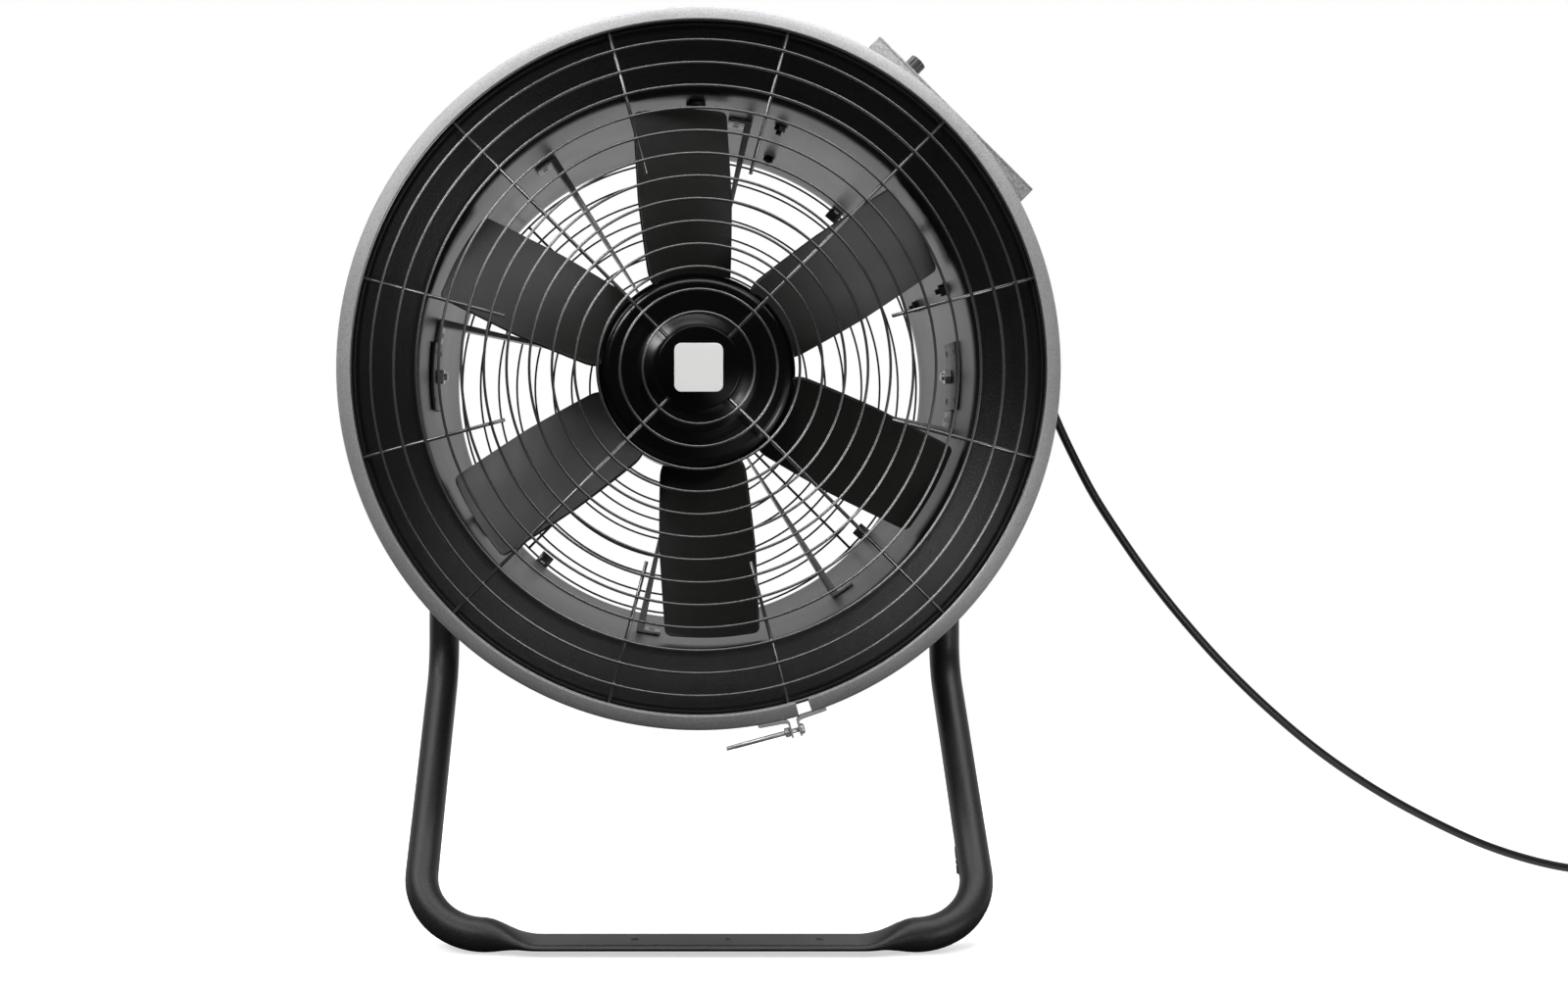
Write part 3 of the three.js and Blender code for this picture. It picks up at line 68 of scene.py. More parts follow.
@dataclass(frozen=True)
class Finish:
    """One surface finish of the fan, in the sockets of a Principled shader.

    The mottle is how far colour and roughness drift, and the speck how far a powder coat's
    specks stand out, both as shares of the value.
    """

    name: str
    color: tuple[float, float, float]
    roughness: float
    metallic: float = 0.0
    grain: Grain = Grain.SMOOTH
    grain_scale: float = 900.0
    grain_depth: float = 0.3
    mottle: float = 0.15
    coat: float = 0.0
    specular: float = 0.5
    speck: float = 0.25

    def material(self) -> bpy.types.Material:
        """Make the finish as a node material.

        Returns:
            The material, made once and shared by every piece that has the finish.
        """
        known = bpy.data.materials.get(self.name)
        if known:
            return known
        made = bpy.data.materials.new(self.name)
        made.use_nodes = True
        nodes, links = made.node_tree.nodes, made.node_tree.links
        shader = nodes["Principled BSDF"]
        shader.inputs["Metallic"].default_value = self.metallic
        shader.inputs["Specular IOR Level"].default_value = self.specular
        shader.inputs["Coat Weight"].default_value = self.coat
        shader.inputs["Coat Roughness"].default_value = COAT_ROUGHNESS
        place = nodes.new("ShaderNodeTexCoord")
        cloud = nodes.new("ShaderNodeTexNoise")
        cloud.inputs["Scale"].default_value = DRIFT_SCALE
        cloud.inputs["Detail"].default_value = DRIFT_DETAIL
        links.new(place.outputs["Object"], cloud.inputs["Vector"])
        self._mottled(made, cloud)
        if self.grain is not Grain.SMOOTH:
            grain = self._grained(made, place)
            if self.grain is Grain.POWDER:
                self._speckled(made, grain)
        return made

    def _mottled(self, made: bpy.types.Material, cloud: bpy.types.Node) -> None:
        """Let the colour and the roughness drift a little over the surface.

        Args:
            made: The material under way.
            cloud: The wide noise that drives the drift.
        """
        nodes, links = made.node_tree.nodes, made.node_tree.links
        shader = nodes["Principled BSDF"]
        tone = nodes.new("ShaderNodeMix")
        tone.data_type = "RGBA"
        tone.inputs["A"].default_value = (*(c * (1 - self.mottle) for c in self.color), 1)
        tone.inputs["B"].default_value = (*(min(1, c * (1 + self.mottle)) for c in self.color), 1)
        links.new(cloud.outputs["Fac"], tone.inputs["Factor"])
        links.new(tone.outputs["Result"], shader.inputs["Base Color"])
        rough = nodes.new("ShaderNodeMapRange")
        low, high = self.roughness * (1 - self.mottle), self.roughness * (1 + self.mottle)
        rough.inputs["To Min"].default_value = max(SMOOTHEST, low)
        rough.inputs["To Max"].default_value = min(1.0, high)
        links.new(cloud.outputs["Fac"], rough.inputs["Value"])
        links.new(rough.outputs["Result"], shader.inputs["Roughness"])

    def _grained(self, made: bpy.types.Material, place: bpy.types.Node) -> bpy.types.Node:
        """Add the fine relief of the finish as a bump.

        Args:
            made: The material under way.
            place: The texture coordinates of the piece.

        Returns:
            The noise that gives the relief.
        """
        nodes, links = made.node_tree.nodes, made.node_tree.links
        grain = nodes.new("ShaderNodeTexNoise")
        grain.inputs["Scale"].default_value = self.grain_scale
        grain.inputs["Detail"].default_value = GRAIN_DETAIL
        source = place.outputs["Object"]
        if self.grain is Grain.BRUSHED:
            stretch = nodes.new("ShaderNodeMapping")
            stretch.inputs["Scale"].default_value = BRUSH_STRETCH
            links.new(source, stretch.inputs["Vector"])
            source = stretch.outputs["Vector"]
        links.new(source, grain.inputs["Vector"])
        bump = nodes.new("ShaderNodeBump")
        bump.inputs["Strength"].default_value = self.grain_depth
        bump.inputs["Distance"].default_value = GRAIN_HEIGHT
        links.new(grain.outputs["Fac"], bump.inputs["Height"])
        links.new(bump.outputs["Normal"], nodes["Principled BSDF"].inputs["Normal"])
        return grain

    def _speckled(self, made: bpy.types.Material, grain: bpy.types.Node) -> None:
        """Let the relief of a powder coat show as light and dark specks too.

        Args:
            made: The material under way.
            grain: The noise of the relief.
        """
        nodes, links = made.node_tree.nodes, made.node_tree.links
        color = nodes["Principled BSDF"].inputs["Base Color"]
        depth = nodes.new("ShaderNodeMapRange")
        depth.inputs["From Min"].default_value = SPECK_RANGE[0]
        depth.inputs["From Max"].default_value = SPECK_RANGE[1]
        depth.inputs["To Min"].default_value = 1 - self.speck
        depth.inputs["To Max"].default_value = 1 + self.speck
        links.new(grain.outputs["Fac"], depth.inputs["Value"])
        specks = nodes.new("ShaderNodeVectorMath")
        specks.operation = "SCALE"
        links.new(color.links[0].from_socket, specks.inputs[0])
        links.new(depth.outputs["Result"], specks.inputs["Scale"])
        links.new(specks.outputs["Vector"], color)


POWDER_BLACK = Finish(
    "powder_black", color=(0.0042, 0.0042, 0.0045), roughness=0.38, grain=Grain.POWDER,
    grain_scale=520, grain_depth=0.6, speck=0.5,
)
BAND_GREY = Finish(
    "band_grey", color=(0.35, 0.35, 0.352), roughness=0.46, metallic=0.1, grain=Grain.POWDER,
    grain_scale=560, grain_depth=0.7, speck=0.13,
)
BOX_GREY = Finish(
    "box_grey", color=(0.34, 0.34, 0.342), roughness=0.5, metallic=0.1, grain=Grain.POWDER,
    grain_scale=560, grain_depth=0.8, speck=0.26,
)
STRUT_GREY = Finish(
    "strut_grey", color=(0.26, 0.26, 0.262), roughness=0.36, metallic=0.2, grain=Grain.POWDER,
    grain_scale=700, grain_depth=0.3,
)
STAND_BLACK = Finish(
    "stand_black", color=(0.015, 0.015, 0.0155), roughness=0.44, grain=Grain.POWDER,
    grain_scale=640, grain_depth=0.4, specular=0.42, speck=0.4,
)
WIRE_GREY = Finish("wire_grey", color=(0.17, 0.17, 0.172), roughness=0.24, metallic=0.85)
DISC_BLACK = Finish("disc_black", color=(0.0012, 0.0012, 0.0014), roughness=0.18, specular=0.25)
HUB_BLACK = Finish("hub_black", color=(0.0012, 0.0012, 0.0014), roughness=0.17, specular=0.42)
BLADE_BLACK = Finish(
    "blade_black", color=(0.012, 0.012, 0.0105), roughness=0.38, grain=Grain.MOULDED,
    grain_scale=820, grain_depth=0.45,
)
MOTOR_BLACK = Finish(
    "motor_black", color=(0.014, 0.014, 0.0145), roughness=0.45, grain=Grain.POWDER,
    grain_scale=600, grain_depth=0.4,
)
KNOB_BLACK = Finish("knob_black", color=(0.022, 0.022, 0.022), roughness=0.26, coat=0.3)
BADGE_WHITE = Finish("badge_white", color=(0.93, 0.93, 0.92), roughness=0.3, mottle=0.02, coat=0.2)
ZINC = Finish(
    "zinc", color=(0.86, 0.87, 0.88), roughness=0.40, metallic=0.5, grain=Grain.BRUSHED,
    grain_scale=1400, grain_depth=0.15,
)
BEARING_STEEL = Finish(
    "bearing_steel", color=(0.5, 0.5, 0.51), roughness=0.25, metallic=1.0, grain=Grain.BRUSHED,
    grain_scale=1200, grain_depth=0.1,
)
MOTOR_IRON = Finish(
    "motor_iron", color=(0.2, 0.2, 0.2), roughness=0.5, metallic=0.9, grain=Grain.BRUSHED,
    grain_scale=900, grain_depth=0.3,
)
RUBBER_BLACK = Finish(
    "rubber_black", color=(0.010, 0.010, 0.010), roughness=0.6, grain=Grain.MOULDED,
    grain_scale=500, grain_depth=0.3,
)
CORD_BLACK = Finish("cord_black", color=(0.010, 0.010, 0.010), roughness=0.40)


# ---------------------------------------------------------------- bench tools

SMOOTH_ANGLE = 35.0  # edges sharper than this stay sharp, in degrees
BEVEL_ANGLE = 30.0  # edges that turn by more than this are rounded, in degrees
WELD_GAP = 0.005 * MM  # points of a drawn line that lie closer than this become one
ROD_SOFT = 0.2  # how far a rod's end is rounded, as a share of its radius or length
WASHER_SOFT = 0.3  # as a share of its height, as the next two are of a nut's
NUT_CHAMFER = 0.14
NUT_SOFT = 0.05
THREAD_DEPTH = 0.42  # as a share of its pitch


def around(degrees: float, radius: float, y: float = 0.0) -> Vector:
    """A point at an angle round the drum axis, where 0 is +X and 90 is up."""
    a = math.radians(degrees)
    return Vector((radius * math.cos(a), y, AXIS_Z + radius * math.sin(a)))


def in_mm(points: list[Point]) -> list[Point]:
    """Points that are written in millimetres, in metres."""
    return [(first * MM, second * MM) for first, second in points]


def turn_to(along: Vector) -> Matrix:
    """The turn that brings +Y to a direction."""
    return Vector((0, 1, 0)).rotation_difference(along).to_matrix().to_4x4()


def smooth(value: float, low: float, high: float) -> float:
    """A smooth rise from 0 at low to 1 at high."""
    t = min(1.0, max(0.0, (value - low) / (high - low)))
    return t * t * (3 - 2 * t)


def select_only(*pieces: bpy.types.Object) -> None:
    """Select these pieces alone, with the first as the active one.

    Args:
        pieces: The pieces; none leaves nothing selected.
    """
    bpy.ops.object.select_all(action="DESELECT")
    for piece in pieces:
        piece.select_set(True)
    bpy.context.view_layer.objects.active = pieces[0] if pieces else None


def settle(
    piece: bpy.types.Object, name: str, smooth_angle: float = SMOOTH_ANGLE
) -> bpy.types.Object:
    """Put a new piece's place into its mesh, and smooth its faces up to an angle.

    Args:
        piece: The mesh object.
        name: The name that it gets.
        smooth_angle: Edges sharper than this stay sharp, in degrees.

    Returns:
        The same object, unturned and unscaled at the origin.
    """
    select_only(piece)
    bpy.ops.object.transform_apply(location=True, rotation=True, scale=True)
    bpy.ops.object.shade_smooth_by_angle(angle=math.radians(smooth_angle))
    piece.name = name
    return piece


def bevelled(piece: bpy.types.Object, width: float, steps: int) -> None:
    """Round a piece's sharp edges with a bevel that is applied at once.

    Args:
        piece: The piece.
        width: How wide each edge is rounded.
        steps: How many steps each rounded edge has.
    """
    select_only(piece)
    soft = piece.modifiers.new("soft_edges", "BEVEL")
    soft.width = width
    soft.segments = steps
    soft.limit_method = "ANGLE"
    soft.angle_limit = math.radians(BEVEL_ANGLE)
    bpy.ops.object.modifier_apply(modifier=soft.name)


def soften(
    piece: bpy.types.Object, width: float, steps: int = 2, smooth_angle: float = SMOOTH_ANGLE
) -> None:
    """Round a piece's sharp edges and smooth its faces again.

    Args:
        piece: The piece.
        width: How wide each edge is rounded.
        steps: How many steps each rounded edge has.
        smooth_angle: Edges sharper than this stay sharp, in degrees.
    """
    bevelled(piece, width, steps)
    bpy.ops.object.shade_smooth_by_angle(angle=math.radians(smooth_angle))


def drawn(spots: list[Vector]) -> bpy.types.Object:
    """Draw a line of edges through points, and stay in edit mode.

    Args:
        spots: The points, from the first to the last.

    Returns:
        The piece under way, at the origin.
    """
    bpy.ops.object.select_all(action="DESELECT")
    bpy.ops.mesh.primitive_plane_add(size=MM)
    piece = bpy.context.active_object
    bpy.ops.object.mode_set(mode="EDIT")
    bpy.ops.mesh.select_all(action="SELECT")
    bpy.ops.mesh.merge(type="CENTER")
    bpy.ops.transform.translate(value=spots[0])
    for last, spot in zip(spots, spots[1:]):
        bpy.ops.mesh.extrude_region_move(TRANSFORM_OT_translate={"value": spot - last})
    bpy.ops.mesh.select_all(action="SELECT")
    return piece


def turned(
    name: str,
    outline: list[Point],
    segments: int = 144,
    centre: Vector | None = None,
    along: Vector | None = None,
    sweep: Point | None = None,
    smooth_angle: float = SMOOTH_ANGLE,
) -> bpy.types.Object:
    """Spin an outline of (radius, distance along the axis) points into a piece.

    Args:
        name: The piece's name.
        outline: The points, which start and end on the axis or form a closed loop.
        segments: How many steps the spin has.
        centre: A point on the axis; the drum axis at y = 0 by default.
        along: The axis, from the centre; +Y by default.
        sweep: First and last angle in degrees, for a piece with a gap; a full turn by default.
        smooth_angle: Edges sharper than this stay sharp, in degrees.

    Returns:
        The piece.
    """
    points = list(outline)
    if points[0][0] > 0 or points[-1][0] > 0:
        points.append(points[0])
    first, last = sweep or (0.0, 360.0)
    start = math.radians(first)
    piece = drawn([Vector((r * math.cos(start), y, r * math.sin(start))) for r, y in points])
    angle = math.radians(last - first)
    bpy.ops.mesh.spin(steps=segments, angle=angle, center=(0, 0, 0), axis=(0, -1, 0))
    bpy.ops.mesh.select_all(action="SELECT")
    bpy.ops.mesh.remove_doubles(threshold=WELD_GAP)
    if sweep:
        bpy.ops.mesh.fill_holes(sides=0)
    bpy.ops.mesh.select_all(action="SELECT")
    bpy.ops.mesh.normals_make_consistent(inside=False)
    bpy.ops.object.mode_set(mode="OBJECT")
    place = Matrix.Translation(centre or Vector((0, 0, AXIS_Z)))
    piece.matrix_world = place @ turn_to(along or Vector((0, 1, 0)))
    return settle(piece, name, smooth_angle)


def rod(name: str, start: Vector, end: Vector, radius: float, sides: int = 24) -> bpy.types.Object:
    """A straight round rod with softened ends.

    Args:
        name: The piece's name.
        start: One end.
        end: The other end.
        radius: Its radius.
        sides: How many faces it has round it.

    Returns:
        The piece.
    """
    length = (end - start).length
    soft = min(radius, length) * ROD_SOFT
    outline = [(0.0, 0.0), (radius - soft, 0.0), (radius, soft)]
    outline += [(radius, length - soft), (radius - soft, length), (0.0, length)]
    return turned(name, outline, sides, start, (end - start).normalized(), smooth_angle=50)


def bent_rod(name: str, line: list[Vector], radius: float, steps: int) -> bpy.types.Object:
    """Bend a round rod along its middle line, with closed ends.

    Args:
        name: The rod's name.
        line: The points of its middle line.
        radius: Its radius.
        steps: How finely it is rounded, as the steps of a quarter of its outline.

    Returns:
        The rod, as a mesh.
    """
    shape = bpy.data.curves.new(name, "CURVE")
    shape.dimensions = "3D"
    shape.bevel_depth = radius
    shape.bevel_resolution = steps
    shape.use_fill_caps = True
    spline = shape.splines.new("POLY")
    spline.points.add(len(line) - 1)
    for point, spot in zip(spline.points, line):
        point.co = (*spot, 1)
    made = bpy.data.objects.new(name, shape)
    bpy.context.scene.collection.objects.link(made)
    select_only(made)
    bpy.ops.object.convert(target="MESH")
    return bpy.context.active_object


def joined(name: str, pieces: list[bpy.types.Object]) -> bpy.types.Object:
    """Join pieces into one object.

    Args:
        name: The name that it gets.
        pieces: The pieces, of which the first takes in the rest.

    Returns:
        The joined object.
    """
    select_only(*pieces)
    bpy.ops.object.join()
    pieces[0].name = name
    return pieces[0]


def arc(centre: Point, radius: float, start: float, end: float, steps: int) -> list[Point]:
    """Points on an arc.

    Args:
        centre: The arc's centre.
        radius: Its radius.
        start: The angle of its first point, in degrees.
        end: The angle of its last point.
        steps: How many steps there are between them.

    Returns:
        The points.
    """
    spots = []
    for i in range(steps + 1):
        a = math.radians(start + (end - start) * i / steps)
        spots.append((centre[0] + radius * math.cos(a), centre[1] + radius * math.sin(a)))
    return spots


def lobed(steps: int, radius_at: Callable[[float], float]) -> list[Point]:
    """A closed outline round a centre, as for the grip of a knob.

    Args:
        steps: How many points it has.
        radius_at: The radius at an angle in radians.

    Returns:
        Its points.
    """
    outline = []
    for i in range(steps):
        a = 2 * math.pi * i / steps
        r = radius_at(a)
        outline.append((r * math.cos(a), r * math.sin(a)))
    return outline


def pressed(
    name: str,
    shape: list[Point],
    front: float,
    depth: float,
    soft: float = 0.0,
    turn: float = 0.0,
    soft_steps: int = 2,
    smooth_angle: float = SMOOTH_ANGLE,
) -> bpy.types.Object:
    """Press a flat shape, seen from the front and centred on the drum axis, to a depth along +Y.

    Args:
        name: The piece's name.
        shape: Its corners as (right, up) from the drum axis.
        front: Where its front face lies along Y.
        depth: How deep it is.
        soft: How wide its edges are rounded.
        turn: How far it is turned about the drum axis, in degrees, anticlockwise from the front.
        soft_steps: How many steps each rounded edge has.
        smooth_angle: Edges sharper than this stay sharp, in degrees.

    Returns:
        The piece.
    """
    piece = drawn([Vector((x, 0, z)) for x, z in (*shape, shape[0])])
    bpy.ops.mesh.remove_doubles(threshold=WELD_GAP)
    bpy.ops.mesh.select_all(action="SELECT")
    bpy.ops.mesh.edge_face_add()
    bpy.ops.mesh.extrude_region_move(TRANSFORM_OT_translate={"value": (0, depth, 0)})
    bpy.ops.mesh.select_all(action="SELECT")
    bpy.ops.mesh.normals_make_consistent(inside=False)
    bpy.ops.object.mode_set(mode="OBJECT")
    piece.location = (0, front, AXIS_Z)
    piece.rotation_euler = (0, -math.radians(turn), 0)
    settle(piece, name, smooth_angle)
    if soft:
        soften(piece, soft, soft_steps, smooth_angle)
    return piece


def ring(name: str, radius: float, wire: float, y: float, steps: int = 144) -> bpy.types.Object:
    """Bend a wire to a ring about the drum axis.

    Args:
        name: The ring's name.
        radius: From the drum axis to the wire's middle.
        wire: The wire's own radius.
        y: Where the ring lies.
        steps: How many steps it has round the axis.

    Returns:
        The ring.
    """
    bpy.ops.object.select_all(action="DESELECT")
    bpy.ops.mesh.primitive_torus_add(
        location=(0, y, AXIS_Z),
        rotation=(math.pi / 2, 0, 0),
        major_radius=radius,
        minor_radius=wire,
        major_segments=steps,
        minor_segments=10,
    )
    return settle(bpy.context.active_object, name, 60)


def hexagon(
    name: str, base: Vector, along: Vector, flats: float, height: float, bore: float = 0.0
) -> bpy.types.Object:
    """A six-sided nut or bolt head with turned corners.

    Args:
        name: Its name.
        base: The middle of the face that it sits on.
        along: The way that it stands up from there.
        flats: Its width across flats.
        height: How high it is.
        bore: The radius of its bore; 0 for none.

    Returns:
        The piece.
    """
    corner = flats / math.sqrt(3)
    chamfer = height * NUT_CHAMFER
    outline = [(bore, 0.0), (corner * 0.93, 0.0), (corner, chamfer)]
    outline += [(corner, height - chamfer), (corner * 0.9, height), (bore, height)]
    piece = turned(name, outline, 6, base, along, smooth_angle=20)
    soften(piece, height * NUT_SOFT, smooth_angle=40)
    return piece


def washer(
    name: str, base: Vector, along: Vector, radius: float, height: float, bore: float
) -> bpy.types.Object:
    """A flat ring with rounded edges under a bolt head.

    Args:
        name: Its name.
        base: The middle of the face that it sits on.
        along: The way that it stands up from there.
        radius: Its outer radius.
        height: How thick it is.
        bore: The radius of its bore.

    Returns:
        The washer.
    """
    r = height * WASHER_SOFT
    outline = [(bore, 0.0), (radius - r, 0.0), (radius, r)]
    outline += [(radius, height - r), (radius - r, height), (bore, height)]
    return turned(name, outline, 36, base, along)


def threaded(
    name: str, start: Vector, end: Vector, radius: float, pitch: float
) -> bpy.types.Object:
    """A screw shank with the ridges of its thread.

    Args:
        name: Its name.
        start: One end.
        end: The other end.
        radius: Its outer radius.
        pitch: From one ridge to the next.

    Returns:
        The shank.
    """
    length = (end - start).length
    depth = pitch * THREAD_DEPTH
    outline = [(0.0, 0.0), (radius - depth, 0.0)]
    for i in range(int(length / pitch)):
        at = i * pitch
        outline += [(radius - depth, at + pitch * 0.12), (radius, at + pitch * 0.5)]
        outline += [(radius - depth, at + pitch * 0.88)]
    outline += [(radius - depth, length), (0.0, length)]
    return turned(name, outline, 20, start, (end - start).normalized(), smooth_angle=20)


def rivet(name: str, base: Vector, along: Vector, radius: float, height: float) -> bpy.types.Object:
    """A low domed rivet head.

    Args:
        name: Its name.
        base: The middle of the face that it sits on.
        along: The way that it stands up from there.
        radius: Its radius.
        height: How high its dome is.

    Returns:
        The rivet head.
    """
    sunk = -0.4 * MM
    outline = [(0.0, sunk), (radius, sunk), (radius, height * 0.25), (radius * 0.86, height * 0.62)]
    outline += [(radius * 0.55, height * 0.9), (0.0, height)]
    return turned(name, outline, 24, base, along, smooth_angle=50)


def copied(node: str, bevel: float, segments: int = 2) -> bpy.types.Object:
    """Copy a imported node's shape, with merged corners and softened edges.

    Args:
        node: The node's name.
        bevel: How wide its edges are softened.
        segments: How many steps each soft edge has.

    Returns:
        The copy, which stands for the node.
    """
    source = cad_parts[node]
    mesh = source.data.copy()
    mesh.materials.clear()
    piece = bpy.data.objects.new(f"{node}_dressed", mesh)
    bpy.context.scene.collection.objects.link(piece)
    select_only(piece)
    bpy.ops.object.mode_set(mode="EDIT")
    bpy.ops.mesh.select_all(action="SELECT")
    bpy.ops.mesh.remove_doubles(threshold=0.002 * MM)
    bpy.ops.mesh.dissolve_limited(angle_limit=math.radians(1.0))
    bpy.ops.object.mode_set(mode="OBJECT")
    bevelled(piece, bevel, segments)
    settle(piece, f"{node}_dressed")
    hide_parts(node)
    return piece


def dress(piece: bpy.types.Object, finish: Finish, body: str) -> bpy.types.Object:
    """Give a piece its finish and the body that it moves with.

    Args:
        piece: The object.
        finish: The finish that covers it.
        body: The moving body that it rides on.

    Returns:
        The same object.
    """
    piece.data.materials.clear()
    piece.data.materials.append(finish.material())
    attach(piece, body)
    LOG.info("%s rides on %s in %s", piece.name, body, finish.name)
    return piece


def paint_node(node: str, finish: Finish) -> None:
    """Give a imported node, whose shape is right as it is, a finish.

    Args:
        node: The node's name.
        finish: The finish that covers it.
    """
    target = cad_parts[node]
    target.data.materials.clear()
    target.data.materials.append(finish.material())
    for slot in target.material_slots:
        slot.material = finish.material()


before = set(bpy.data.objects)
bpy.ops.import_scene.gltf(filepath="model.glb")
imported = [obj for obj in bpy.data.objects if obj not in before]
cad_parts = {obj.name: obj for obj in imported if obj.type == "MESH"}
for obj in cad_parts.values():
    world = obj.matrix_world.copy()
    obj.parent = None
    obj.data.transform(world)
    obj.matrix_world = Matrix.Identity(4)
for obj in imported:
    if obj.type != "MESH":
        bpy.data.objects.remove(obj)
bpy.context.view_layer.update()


# ---------------------------------------------------------------- studio
# Strengths and shades are shares of white, places are in metres and powers in watts.

WHITE = (1, 1, 1, 1)


@dataclass(frozen=True)
class Lamp:
    """One soft rectangular lamp of the studio, with its place, aim, size and power."""

    name: str
    place: Place
    aim: Place
    size: Point
    watts: float

    def hang(self) -> None:
        """Hang the lamp at its place, facing its aim and unseen by the camera."""
        bpy.ops.object.light_add(type="AREA", location=self.place)
        lamp = bpy.context.active_object
        lamp.name = self.name
        lamp.data.shape = "RECTANGLE"
        lamp.data.size, lamp.data.size_y = self.size
        lamp.data.energy = self.watts
        lamp.visible_camera = False
        facing = Vector(self.aim) - Vector(self.place)
        lamp.rotation_euler = facing.to_track_quat("-Z", "Y").to_euler()


LAMPS = (
    Lamp("lamp_top", place=(0.0, 0.1, 2.4), aim=(0.0, 0.0, 0.5), size=(2.4, 1.2), watts=54),
    Lamp(
        "lamp_close", place=(0.12, -0.78, 1.22), aim=(0.05, -0.15, 0.6), size=(0.9, 0.3), watts=3.5
    ),
    Lamp("lamp_left", place=(-1.7, -0.7, 2.0), aim=(0.0, 0.0, 0.45), size=(0.8, 1.2), watts=20),
    Lamp("lamp_right", place=(1.5, -0.6, 2.3), aim=(0.0, 0.0, 0.45), size=(0.8, 1.2), watts=12),
    Lamp("lamp_back", place=(0.2, 2.2, 1.9), aim=(0.0, 0.1, 0.5), size=(2.2, 1.0), watts=10),
    Lamp(
        "lamp_upper_left", place=(-0.85, -1.75, 1.4), aim=(-0.1, 0.0, 0.35), size=(0.5, 0.5),
        watts=12,
    ),
    Lamp(
        "lamp_low_right", place=(0.72, -0.95, 0.10), aim=(0.15, 0.0, 0.58), size=(0.35, 0.25),
        watts=2.2,
    ),
)


